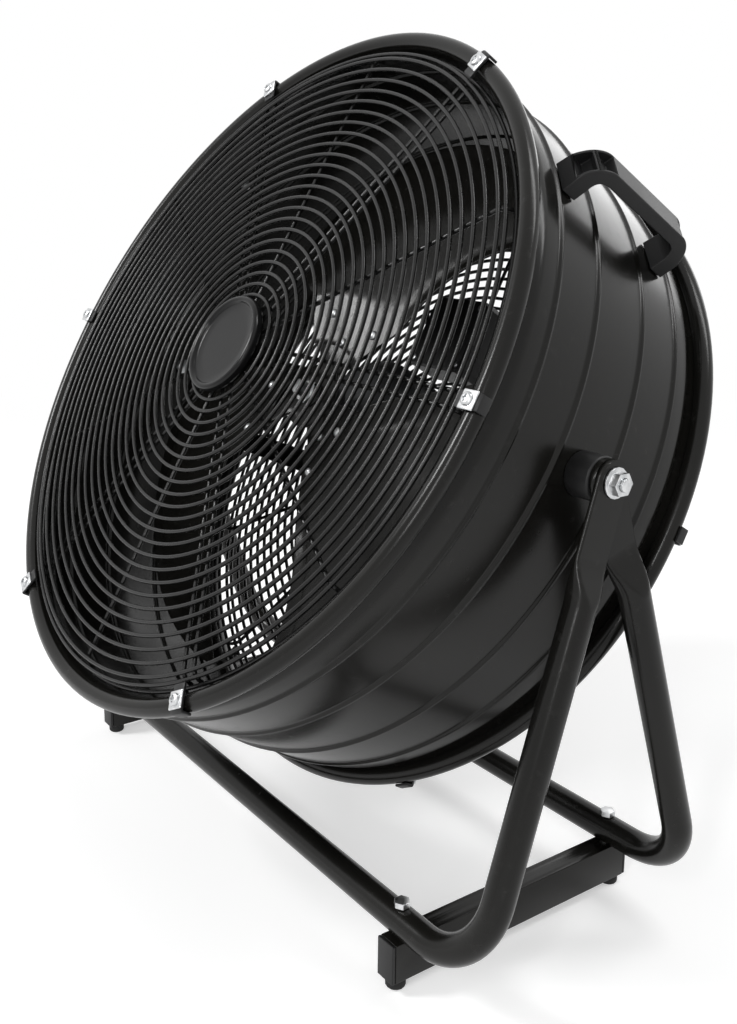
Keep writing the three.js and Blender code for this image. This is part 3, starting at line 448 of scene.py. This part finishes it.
def ring_tree():
    """Rings of one wire in a shallow dish, and two more where the guard's edge turns back."""
    tree, source = geometry_tree("guard rings", {
        "Rings": "Int", "First Ring": "Float", "Pitch": "Float", "Wire Radius": "Float", "Middle": "Float",
        "Fall": "Float", "Edge Step": "Float", "Edge Fall": "Float", "Turned Step": "Float",
        "Turned Fall": "Float", "Material": "Material"})
    take = source.output
    points, index = numbered_points(tree, take("Rings") + 2)
    on_face = index.maths("MINIMUM", take("Rings") - 1)
    past = index - on_face
    edge = past.maths("MINIMUM", 1)
    turned_back = past - edge
    face_radius = take("First Ring") + take("Pitch") * on_face
    last = take("First Ring") + take("Pitch") * (take("Rings") - 1)
    radius = face_radius + take("Edge Step") * edge + take("Turned Step") * turned_back
    height = take("Middle") - take("Fall") * (face_radius / last) ** 2
    height = height - take("Edge Fall") * edge - take("Turned Fall") * turned_back
    places = grow(tree, "ShaderNodeCombineXYZ", sockets={"Z": height})
    ring = grow(tree, "GeometryNodeCurvePrimitiveCircle", sockets={"Resolution": ring_steps, "Radius": 1.0})
    size = grow(tree, "ShaderNodeCombineXYZ", sockets={"X": radius, "Y": radius, "Z": 1.0})
    end_in_wire(tree, source, points, places, ring, Scale=size)
    return tree


def radial_tree():
    """One bent wire, repeated round the axis, alone or in pairs that alternate with single wires."""
    tree, source = geometry_tree("guard radial wires", {
        "Count": "Int", "Group": "Int", "Group Angle": "Float", "Pair Half": "Float", "Bend": "Float",
        "Wire Radius": "Float", "Material": "Material"})
    take = source.output
    path = grow(tree, "GeometryNodeMeshToCurve", sockets={"Mesh": take("Geometry")})
    path = grow(tree, "GeometryNodeFilletCurve", sockets={
        "Curve": path, "Radius": take("Bend"), "Limit Radius": True})
    points, index = numbered_points(tree, take("Count"))
    group = ((index + 0.01) / take("Group")).maths("FLOOR")
    member = index - group * take("Group")
    single = (member - 1).maths("MAXIMUM", 0)
    angle = (group + single * 0.5) * take("Group Angle")
    offset = (member * 2 - 1) * take("Pair Half") * (1 - single)
    places = grow(tree, "ShaderNodeCombineXYZ", sockets={
        "X": angle.maths("SINE") * offset * -1, "Y": angle.maths("COSINE") * offset})
    turn = grow(tree, "ShaderNodeCombineXYZ", sockets={"Z": angle})
    end_in_wire(tree, source, points, places, path, Rotation=turn)
    return tree


guard_middle, guard_fall = 133.5, 3.6
ring_values = {
    "Rings": 23, "First Ring": 53.0, "Pitch": 11.4, "Wire Radius": wire / 2, "Middle": guard_middle,
    "Fall": guard_fall, "Edge Step": 6.2, "Edge Fall": 1.6, "Turned Step": 3.2, "Turned Fall": 8.6,
    "Material": black_wire}
front_values = {
    "Count": 18, "Group": 3, "Group Angle": pi / 3, "Pair Half": 6.3, "Bend": 5.0,
    "Wire Radius": wire / 2, "Material": black_wire}
rear_values = {**front_values, "Count": 12, "Group": 1, "Group Angle": pi / 6, "Pair Half": 0.0}

# A radial wire lies behind the rings, follows their dish and turns back at the guard's edge.
radial_middle = guard_middle - wire * 0.95
radial_edge = radial_middle - guard_fall
radial_path = [
    (30, 0, radial_middle), (150, 0, radial_middle - guard_fall * 0.25), (303, 0, radial_edge),
    (308.6, 0, radial_edge - 6), (309.4, 0, guard_middle - 17)]
rings_of_wire, radial_wires = ring_tree(), radial_tree()
for end, values, place in (("front", front_values, drum_frame), ("rear", rear_values, rear_frame)):
    path_mesh = bpy.data.meshes.new("radial path")
    path_mesh.from_pydata(radial_path, [(i, i + 1) for i in range(len(radial_path) - 1)], [])
    rings = grown(rings_of_wire, ring_values, bpy.data.meshes.new("no source"), place, 60)
    radials = grown(radial_wires, values, path_mesh, place, 60)
    piece(f"{end}_guard_wires", joined(rings, radials), "drum", black_wire, "black_wire", f"{end}_guard")

plate_profile = [
    (0, 131.6), (8, 131.6), (9, 132.6), (24, 132.6), (26, 134.4), (39, 134.4), (42, 132.6), (42, 131),
    (39, 131), (26, 131), (24, 129.4), (0, 129.4)]
for end, place in (("rear", rear_frame), ("front", drum_frame)):
    piece(f"{end}_guard_plate", turned(plate_profile, 64, place, 30), "drum", black_paint, "black_paint")


# ------------------------------------------------------------------------------- centre cap
# A moulded plastic disc with a raised rim round a plain, shallow dish. It is clipped over the centre
# plate that carries the front guard's radial wires.
def moulded(name, dark, light, roughness, specular, grain=1.1, depth=0.05):
    """Grained moulded plastic, greyer where it has been handled."""
    finish = Finish(name)
    cloud = finish.noise(60, 3)
    texture = finish.noise(grain, 2)
    return finish.surface(
        Base_Color=finish.ramp(cloud, (0.3, dark), (0.75, light)),
        Roughness=roughness + (cloud - 0.5) * 0.14 + (texture - 0.5) * 0.1,
        Normal=finish.bump(texture, 0.35, depth), Specular_IOR_Level=specular)


cap_plastic = moulded(
    "glossy black plastic", (0.004, 0.004, 0.0042), (0.0065, 0.0065, 0.0067), 0.2, 0.22, 2.4, 0.02)
cap_bottom, cap_top = 135.9, 144.9
cap_profile = [
    (0, cap_bottom), (46, cap_bottom), (47, cap_bottom + 0.6), (47.5, cap_bottom + 2), (47.3, cap_top - 3),
    (46.7, cap_top - 1.4), (45.4, cap_top - 0.4), (43.8, cap_top), (42.2, cap_top - 0.4),
    (41.2, cap_top - 1.3), (40.6, cap_top - 2.6), (40, cap_top - 3.4), (38.8, cap_top - 3.8),
    (30, cap_top - 4), (0, cap_top - 4.1)]
piece("centre_cap", turned(cap_profile, 96, drum_frame, 50),
      "drum", cap_plastic, "black_plastic", "front_centre_cap")

# ------------------------------------------------------------------------------------ clips
# Six at each mouth: a moulded black lug laps over the guard's edge and the rolled rim, under a square
# zinc plate and a cross-recess pan-head screw.
black_plastic = moulded(
    "grained black plastic", (0.009, 0.009, 0.0092), (0.016, 0.016, 0.0164), 0.45, 0.3)

# Clear-passivated zinc: bright, with a soft mottle and fine brushing.
finish = Finish("clear zinc plate")
mottle = finish.noise(5, 4)
fine = finish.noise(0.7, 2)
zinc = finish.surface(
    Base_Color=finish.ramp(mottle, (0.3, (0.5, 0.51, 0.52)), (0.7, (0.72, 0.725, 0.73))),
    Metallic=1.0, Roughness=0.3 + (mottle - 0.5) * 0.22, Normal=finish.bump(fine, 0.2, 0.05))


def round_tree():
    """Copies of the incoming mesh at even angles round the axis."""
    tree, source = geometry_tree("copies round the axis", {
        "Count": "Int", "First Angle": "Float", "Material": "Material"})
    take = source.output
    points, index = numbered_points(tree, take("Count"))
    angle = take("First Angle") + index * (2 * pi) / take("Count")
    turn = grow(tree, "ShaderNodeCombineXYZ", sockets={"Z": angle})
    end_in_pieces(tree, source, grow(tree, "GeometryNodeInstanceOnPoints", sockets={
        "Points": points, "Instance": take("Geometry"), "Rotation": turn}))
    return tree


round_the_axis = round_tree()


def box_mesh(low, high, bevel, segments, place=Matrix(), crease=None):
    """A block with all its edges rounded."""
    shape = bmesh.new()
    bmesh.ops.create_cube(shape, size=1)
    for corner in shape.verts:
        corner.co = Vector((a + b) / 2 + (b - a) * c for a, b, c in zip(low, high, corner.co))
    bmesh.ops.bevel(shape, geom=shape.edges, offset=bevel, segments=segments, profile=0.5, affect="EDGES")
    return finished(shape, place, crease)


def extruded(outline, half, bevel=0.0):
    """An outline in the plane of the axis (radius, along), given a width across it."""
    crease, count = 30, len(outline)
    points, faces = skin([[(r, side, z) for r, z in outline] for side in (-half, half)])
    shape = drawn(points, [*faces, tuple(range(count)), tuple(range(2 * count - 1, count - 1, -1))])
    bmesh.ops.recalc_face_normals(shape, faces=shape.faces)
    if bevel:
        hard = [edge for edge in shape.edges if edge.calc_face_angle(0) > radians(crease)]
        bmesh.ops.bevel(shape, geom=hard, offset=bevel, segments=2, profile=0.5, affect="EDGES")
    return finished(shape, crease=crease)


def screw_mesh(radius, height, base, place, sides=24):
    """A pan head on its own axis, with a cross pressed into it."""
    top, floor = base + height, base + height * 0.45
    slot, reach, recess_taper = radius * 0.16, radius * 0.56, 0.8
    cross = []
    for i in range(sides):
        turn = (2 * pi * i / sides) % (pi / 2)
        quarter = (2 * pi * i / sides) - turn
        steep = sin(turn) / cos(turn)
        x, y = (reach, min(slot, reach * steep)) if turn < pi / 4 else (min(slot, reach / steep), reach)
        if abs(turn - pi / 4) < 1e-6:
            x, y = slot, slot
        cross.append((x * cos(quarter) - y * sin(quarter), x * sin(quarter) + y * cos(quarter)))
    recess = [(x * recess_taper, y * recess_taper, floor) for x, y in cross]
    head = ((1, 0), (1, 0.45), (0.94, 0.72), (0.8, 0.9), (0.62, 1))
    points, faces = skin([
        [(0, 0, base)], *[circle(radius * share, base + height * rise, sides) for share, rise in head],
        [(x, y, top) for x, y in cross], recess, [(0, 0, floor)]])
    return solid_mesh(points, faces, place, 35)


lug_profile = [
    (313.4, 130.8), (335.3, 130.8), (335.3, 122.4), (337.6, 122.4), (337.6, 131.2), (336.8, 132.3),
    (335.3, 133.1), (314.2, 133.1), (313.4, 132.5)]
lug_half, lug_gap, lug_thickness = 6.5, 0.3, 2.3
plate_half, plate_thickness, plate_sunk = 7.5, 1.9, 0.1
clip_face = rim_place + rim_curl + lug_gap + lug_thickness
clip_top = clip_face + plate_thickness
for end, place in (("front", drum_frame), ("rear", rear_frame)):
    lug = extruded(lug_profile, lug_half, bevel=0.5)
    plate = box_mesh((rim_radius - plate_half, -plate_half, clip_face - plate_sunk),
                     (rim_radius + plate_half, plate_half, clip_top), 1.0, 3)
    screw = screw_mesh(5.2, 2.9, clip_top, Matrix.Translation((rim_radius, 0, 0)))
    lug_values = {"Count": 6, "First Angle": 0.0, "Material": black_plastic}
    zinc_values = {**lug_values, "Material": zinc}
    piece(f"{end}_clip_lugs", grown(round_the_axis, lug_values, lug, place, 30),
          "drum", black_plastic, "black_plastic", *[f"{end}_clip_{i + 1}" for i in range(6)])
    piece(f"{end}_clip_plates", grown(round_the_axis, zinc_values, joined(plate, screw), place, 30),
          "drum", zinc, "zinc")

# ---------------------------------------------------------------------------------- handles
# Moulded black bows along the barrel, flaring to their feet, with the outer side of each leg cored out
# between ribs. Two screws from inside the drum hold each.
handle_angles, handle_middle = {"right": 40, "left": 140}, 4.5
handle_half, handle_flat, handle_height, handle_grip = 71, 47, 38, 12
handle_opening, handle_corner, handle_width, grip_width = 55, 13, 32, 26
handle_under, handle_bend = handle_height - handle_grip, handle_half - handle_flat
foot_gap, flare_end, outer_pull, inner_pull = 0.35, 6, handle_bend / 2.2, handle_corner / 3
pocket_wall, pocket_web, pocket_start, rib_half, past_outline = 3.5, 3, 15, 2.2 / sqrt(2), 5


def curve_points(a, b, c, d, steps):
    """Points on a cubic curve, without its first."""
    return [
        tuple((1 - t) ** 3 * p + 3 * (1 - t) ** 2 * t * q + 3 * (1 - t) * t * t * r + t ** 3 * v
              for p, q, r, v in zip(a, b, c, d))
        for t in ((i + 1) / steps for i in range(steps))]


def handle_outline():
    """The bow from the side: (height over the barrel, place along it), half drawn and half mirrored."""
    outer = [(foot_gap, handle_half), (handle_height - handle_bend, handle_half)]
    outer += curve_points(outer[-1], (handle_height - outer_pull, handle_half),
                          (handle_height, handle_flat + outer_pull), (handle_height, handle_flat), 14)
    inner = [(foot_gap, handle_opening), (handle_under - handle_corner, handle_opening)]
    inner += curve_points(inner[-1], (handle_under - inner_pull, handle_opening),
                          (handle_under, handle_opening - inner_pull),
                          (handle_under, handle_opening - handle_corner), 10)
    far_outer, far_inner = [[(height, -along) for height, along in line] for line in (outer, inner)]
    return [*outer, *far_outer[::-1], *far_inner, *inner[::-1]]


def pocket_outlines(side):
    """The two hollows of a leg, with a slanting rib between them."""
    leg, inner_wall = handle_opening + pocket_wall, handle_under + pocket_wall
    top, beyond = handle_height + past_outline, handle_half + past_outline
    rise = top - handle_under
    lower = [
        (pocket_start, leg), (handle_under - rib_half, leg), (top - rib_half, leg + rise),
        (top - rib_half, beyond + rise), (pocket_start, beyond + rise)]
    upper = [
        (handle_under + rib_half, leg), (inner_wall, handle_flat + pocket_wall), (inner_wall, handle_flat),
        (top, handle_flat), (top, leg + rise - rib_half)]
    return [[(height, side * along) for height, along in line] for line in (lower, upper)]


def handle_mesh(angle):
    """The bow with its pockets cut out and its legs widened towards their feet."""
    bow = placed("bow", extruded(handle_outline(), handle_width / 2))
    cutters = []
    for outline in (*pocket_outlines(1), *pocket_outlines(-1)):
        cutters.append(placed("core", extruded(outline, handle_width / 2 - pocket_web)))
        cut = bow.modifiers.new("core", "BOOLEAN")
        cut.object = cutters[-1]
        cut.solver = "EXACT"
    mesh = evaluated_mesh(bow)
    for spent in (bow, *cutters):
        bpy.data.objects.remove(spent)
    for corner in mesh.vertices:
        rise = eased(corner.co.x, flare_end, handle_under)
        corner.co.y *= 1 + (grip_width / handle_width - 1) * rise
    seat = Matrix.Rotation(radians(angle), 4, "Z") @ Matrix.Translation((barrel_radius, 0, handle_middle))
    return smoothed(mesh, drum_frame @ seat, 30)


def round_edges(made, width, segments, crease, **settings):
    """Rounds a piece's hard edges by a width in millimetres."""
    rounding = made.modifiers.new("rounded edges", "BEVEL")
    rounding.width = width / 1000
    rounding.segments = segments
    rounding.limit_method = "ANGLE"
    rounding.angle_limit = radians(crease)
    for key, value in settings.items():
        setattr(rounding, key, value)


for side, angle in handle_angles.items():
    bow = piece(f"carrying_handle_{side}", handle_mesh(angle),
                "drum", black_plastic, "black_plastic", f"handle_{side}")
    round_edges(bow, 1.1, 3, 35, harden_normals=True)

handle_screw_reach = 63
inward = Matrix.Rotation(-pi / 2, 4, "Y")
handle_screws = []
for angle in handle_angles.values():
    for along in (handle_middle - handle_screw_reach, handle_middle + handle_screw_reach):
        seat = Matrix.Rotation(radians(angle), 4, "Z") @ Matrix.Translation((barrel_inside, 0, along))
        handle_screws.append(screw_mesh(6, 3, -0.2, drum_frame @ seat @ inward))
piece("handle_screws", joined(*handle_screws), "drum", zinc, "zinc")


# ----------------------------------------------------------------------------------- pivots
# A black spacer between the barrel and the stand, a bolt from inside the drum and a zinc flange nut
# outside, which clamps the tilt.
def refined(name, node, bevel, body, material, slot, segments=2):
    """A copy of a CAD node with its flat faces made whole and its edges rounded."""
    shape = bmesh.new()
    shape.from_mesh(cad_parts[node].data)
    bmesh.ops.remove_doubles(shape, verts=shape.verts, dist=1e-6)
    bmesh.ops.dissolve_limit(shape, angle_limit=radians(0.6), verts=shape.verts, edges=shape.edges)
    made = piece(name, finished(shape), body, material, slot, node)
    round_edges(made, bevel, segments, 30, harden_normals=True, miter_outer="MITER_ARC")


for side in ("right", "left"):
    refined(f"pivot_spacer_{side}", f"pivot_bush_{side}", 0.5, "drum", black_plastic, "black_plastic")
    refined(f"pivot_screw_{side}", f"pivot_bolt_{side}", 0.5, "drum", zinc, "zinc")
    refined(f"pivot_flange_nut_{side}", f"pivot_nut_{side}", 0.5, "drum", zinc, "zinc")

# -------------------------------------------------------------------------------- stand tubes
# Two U-shaped bends of round steel tube. Their ends are pressed flat, rounded off and drilled, and lie
# on each other under the pivot nut.
tube_radius, tube_sides, leg_x, bend_radius = 12.5, 40, 358, 60
eye_half, eye_length, eye_blend, eye_thick, eye_squareness = 17, 58, 38, 5, 1.2
cross_reach, cross_height = 118.5, 55.8
leg_length = hypot(cross_reach, pivot_height - cross_height)


def stand_tube(end, eye_x):
    """The tube from one flat eye, down its leg, across and up to the other eye."""
    fall = Vector((0, end * cross_reach, cross_height - pivot_height)).normalized()
    normal = Vector((1, 0, 0)).cross(fall)
    straight = leg_length - bend_radius
    quarter = pi / 2 * bend_radius
    half = eye_half + straight + quarter + leg_x - bend_radius
    blend_start = eye_half + eye_length
    stations = [eye_half * (1 - cos(radians(a))) for a in (3, 12, 24, 36, 48, 60, 72, 84, 90)]
    stations += [blend_start + eye_blend * i / 14 for i in range(15)]
    stations += [eye_half + straight + quarter * i / 16 for i in range(17)]
    rings = []
    for whole in stations + [2 * half - s for s in reversed(stations)]:
        side = 1 if whole > half else -1
        s = min(whole, 2 * half - whole)
        turn = min(pi / 2, max(0, (s - eye_half - straight) / bend_radius))
        x = leg_x - bend_radius * (1 - cos(turn))
        down = s - eye_half if turn == 0 else straight + bend_radius * sin(turn)
        flat = 1 - eased(s, blend_start, blend_start + eye_blend)
        x += flat * (eye_x - leg_x)
        thick = tube_radius + (eye_thick / 2 - tube_radius) * flat
        eye_width = eye_half * sqrt(1 - (1 - min(1, s / eye_half)) ** 2)
        wide = tube_radius + (eye_width - tube_radius) * flat
        section = []
        for i in range(tube_sides):
            angle = 2 * pi * i / tube_sides
            outwards = thick * max(-1, min(1, cos(angle) * (1 + eye_squareness * flat)))
            centre = Vector((side * (x + outwards * cos(turn)), 0, pivot_height))
            section.append(centre + fall * (down + outwards * sin(turn)) - normal * (wide * sin(angle)))
        rings.append(section)
    first, last = [[sum(ring, Vector()) / tube_sides] for ring in (rings[0], rings[-1])]
    return solid_mesh(*skin([first, *rings, last]), metres, 30)


front_eye_x = leg_x - 1.6
rear_eye_x = front_eye_x - eye_thick - 0.3
for end, direction, eye_x in (("front", -1, front_eye_x), ("rear", 1, rear_eye_x)):
    piece(f"{end}_leg_tube", stand_tube(direction, eye_x),
          "stand", black_paint, "black_paint", f"{end}_stand_tube")

# ------------------------------------------------------------------------------------- skids
# Rectangular tube under both cross tubes, with plastic plugs in its ends, a rubber foot under each end
# and a zinc bolt down through each cross tube.
rubber = moulded("black rubber", (0.012, 0.012, 0.012), (0.03, 0.03, 0.03), 0.75, 0.3, 1.6, 0.08)
for side in ("right", "left"):
    refined(f"skid_tube_{side}", f"skid_{side}", 1.6, "stand", black_paint, "black_paint", 3)
    for end in ("front", "rear"):
        corner = f"{end}_{side}"
        refined(f"end_plug_{corner}", f"skid_cap_{corner}", 1.2, "stand", black_plastic, "black_plastic", 3)
        refined(f"rubber_foot_{corner}", f"foot_{corner}", 0.8, "stand", rubber, "black_rubber")
        refined(f"skid_screw_{corner}", f"skid_bolt_{corner}", 0.6, "stand", zinc, "zinc")

# ------------------------------------------------------------------------------------- motor
# A die-cast housing, slightly sandy under its grey paint, with a pressed cover at its back. It is
# screwed to two flat steel straps whose turned ends are welded to the barrel's wall.
finish = Finish("grey casting")
cloud = finish.noise(30, 4)
sand = finish.noise(1.2, 3)
motor_grey = finish.surface(
    Base_Color=finish.ramp(cloud, (0.3, (0.03, 0.031, 0.032)), (0.7, (0.055, 0.056, 0.058))),
    Metallic=0.5, Roughness=0.5 + (cloud - 0.5) * 0.2, Normal=finish.bump(sand, 0.5, 0.1))
refined("motor_housing", "motor_body", 1.0, "drum", motor_grey, "motor_grey")
refined("motor_cover", "motor_rear_cover", 1.0, "drum", black_paint, "black_paint")
for row in ("upper", "lower"):
    refined(f"carrier_strap_{row}", f"motor_strap_{row}", 0.6, "drum", black_paint, "black_paint")

strap_screw_x, strap_screw_y, strap_back = 42, 48, -100.5
strap_screws = []
for x in (-strap_screw_x, strap_screw_x):
    for y in (-strap_screw_y, strap_screw_y):
        seat = Matrix.Translation((x, y, strap_back)) @ Matrix.Rotation(pi, 4, "Y")
        strap_screws.append(screw_mesh(6, 3.4, -0.2, drum_frame @ seat))
piece("strap_screws", joined(*strap_screws), "drum", zinc, "zinc")

# ------------------------------------------------------------------------------------- rotor
# Three pressed steel blades with rolled lips, riveted to the arms of a pressed spider that is clamped on
# the motor's shaft.
rotor_place, blade_phase = 28, 79
rotor_frame = drum_frame @ Matrix.Translation((0, 0, rotor_place))
sheet, arm_half, arm_gap = 2, 1.5, 0.3
blade_lift = arm_half + arm_gap + sheet / 2
blade_root, seat_end, blade_tip, tip_corner, corner_fullness = 52, 106, 300, 24, 0.98
seat_slope, seat_share, dish_start, dish_end = 0.28, 0.25, 27, 48
leading_angle, leading_sweep, leading_power = 36, 29, 0.6
trailing_angle, trailing_hollow, trailing_waist = 25, 10, 170
trailing_fall, twist, camber, fall_power = 22, 78, 11, 1.15
lip_rise, leading_lip, trailing_lip, trailing_share, lip_growth, lip_past_tip = 4.2, 17, 9, 0.8, 6, 4
groove_depth, groove_half, leading_groove, trailing_groove = 1.1, 5, 21, 13


def blade_point(chord, span):
    """The sheet's middle: flat on the arm's seat at its root, then bending back towards its tip."""
    past = max(0, (chord - 0.5) / 0.5)
    outer = blade_tip - tip_corner * (1 - sqrt(1 - past ** 2 * corner_fullness))
    if span < seat_share:
        radius = blade_root + (seat_end - blade_root) * span / seat_share
    else:
        radius = seat_end + (outer - seat_end) * (span - seat_share) / (1 - seat_share)
    outboard = max(0, (radius - seat_end) / (blade_tip - seat_end))
    leading = leading_angle + leading_sweep * outboard ** leading_power
    trailing = trailing_angle + trailing_hollow * ((max(radius, seat_end) - trailing_waist) / 100) ** 2
    angle = radians(chord * (leading + trailing) - trailing)
    seat = seat_slope * eased(radius, dish_start, dish_end) * min(radius, seat_end) * sin(angle)
    share = outboard ** fall_power
    height = seat - share * (trailing_fall + twist * chord)
    height += share * camber * 4 * chord * (1 - chord) + blade_lift
    # The edges are rolled up to lips, with a shallow groove beside each.
    width = radius * radians(leading + trailing)
    from_trailing = chord * width
    from_leading = min((1 - chord) * width, outer + lip_past_tip - radius)
    lip = max(0, 1 - from_leading / leading_lip)
    lip += trailing_share * max(0, 1 - from_trailing / trailing_lip)
    from_groove = min(from_leading - leading_groove, from_trailing - trailing_groove, key=abs)
    groove = 1 - eased(abs(from_groove), 0, groove_half)
    height += min(1, outboard * lip_growth) * (lip_rise * lip - groove_depth * groove)
    return Vector((radius * cos(angle), radius * sin(angle), height))


def blade_mesh(turn):
    """The blade's middle surface, drawn closer at its lips."""
    near = [0, 0.012, 0.024, 0.036, 0.048, 0.06, 0.075]
    chords = near + [near[-1] + 0.85 * i / 34 for i in range(1, 34)] + [1 - t for t in reversed(near)]
    spans = [i / 40 for i in range(10)] + [seat_share + 0.65 * i / 24 for i in range(25)]
    spans += [0.915, 0.93, 0.945, 0.96, 0.975, 0.99, 1]
    columns = len(chords)
    faces = [
        (s * columns + c, s * columns + c + 1, (s + 1) * columns + c + 1, (s + 1) * columns + c)
        for s in range(len(spans) - 1) for c in range(columns - 1)]
    mesh = bpy.data.meshes.new("blade")
    mesh.from_pydata([blade_point(chord, span) for span in spans for chord in chords], [], faces)
    return smoothed(mesh, rotor_frame @ Matrix.Rotation(radians(turn), 4, "Z"))


for i in range(3):
    blade = piece(f"fan_blade_{i + 1}", blade_mesh(blade_phase + 120 * i),
                  "rotor", black_paint, "black_paint", f"blade_{i + 1}")
    wall = blade.modifiers.new("sheet", "SOLIDIFY")
    wall.thickness = sheet / 1000
    wall.offset = 0
    round_edges(blade, 0.7, 2, 50)

# Three rivets hold a blade's root down on the tilted seat of its arm.
rivet_profile = [(0, -0.4), (4.6, -0.4), (4.6, 0.5), (4.1, 1.5), (3, 2.3), (1.6, 2.75), (0, 2.9)]
seat_tilt = Matrix.Rotation(-atan2(seat_slope, 1), 4, "X").inverted()
rivets = []
for radius, turn in ((82.5, -19.4), (82.5, 19.4), (57.5, 0)):
    x, y = radius * cos(radians(turn)), radius * sin(radians(turn))
    seated = Matrix.Translation((x, y, seat_slope * y + blade_lift + sheet / 2)) @ seat_tilt
    rivets.append(turned(rivet_profile, 20, seated, 40))
rivet_values = {"Count": 3, "First Angle": radians(blade_phase), "Material": zinc}
piece("blade_rivets", grown(round_the_axis, rivet_values, joined(*rivets), rotor_frame, 40),
      "rotor", zinc, "zinc")

refined("blade_spider", "rotor_spider", 0.6, "rotor", black_paint, "black_paint")
refined("spider_hub", "rotor_hub", 0.6, "rotor", motor_grey, "motor_grey")
refined("motor_shaft", "rotor_shaft", 0.8, "rotor", zinc, "zinc")
refined("hub_nut", "rotor_nut", 0.6, "rotor", zinc, "zinc")

# ----------------------------------------------------------------------- control box and knob
# A moulded two-part box inside the rear guard holds the speed switch. Four screws close its lid, and its
# knob, with a raised pointer, stands out through the guard.
refined("switch_box", "control_box", 1.6, "drum", black_plastic, "black_plastic", 3)
box_front, box_middle = -91.4, 127
lid_x, lid_y, box_screw_x, box_screw_y = 37.5, 36.5, 33, 32
box_screws = [
    screw_mesh(3.6, 1.8, 0.9, drum_frame @ Matrix.Translation((x, box_middle + y, box_front)))
    for x in (-box_screw_x, box_screw_x) for y in (-box_screw_y, box_screw_y)]
piece("box_screws", joined(*box_screws), "drum", zinc, "zinc")
lid = box_mesh((-lid_x, box_middle - lid_y, box_front - 0.5), (lid_x, box_middle + lid_y, box_front + 1.1),
               0.7, 2, drum_frame, 40)
piece("switch_box_lid", lid, "drum", black_plastic, "black_plastic")

refined("switch_knob", "speed_knob", 0.6, "knob", black_plastic, "black_plastic")
knob_x, knob_y, knob_back = 18.806, 125.837, -153.6
pointer_half, pointer_length = 1.5, 11
pointer = box_mesh((knob_x - pointer_half, knob_y - 1, knob_back - 1.1),
                   (knob_x + pointer_half, knob_y + pointer_length, knob_back + 0.4), 0.5, 2, drum_frame)
piece("knob_pointer", pointer, "knob", black_plastic, "black_plastic")
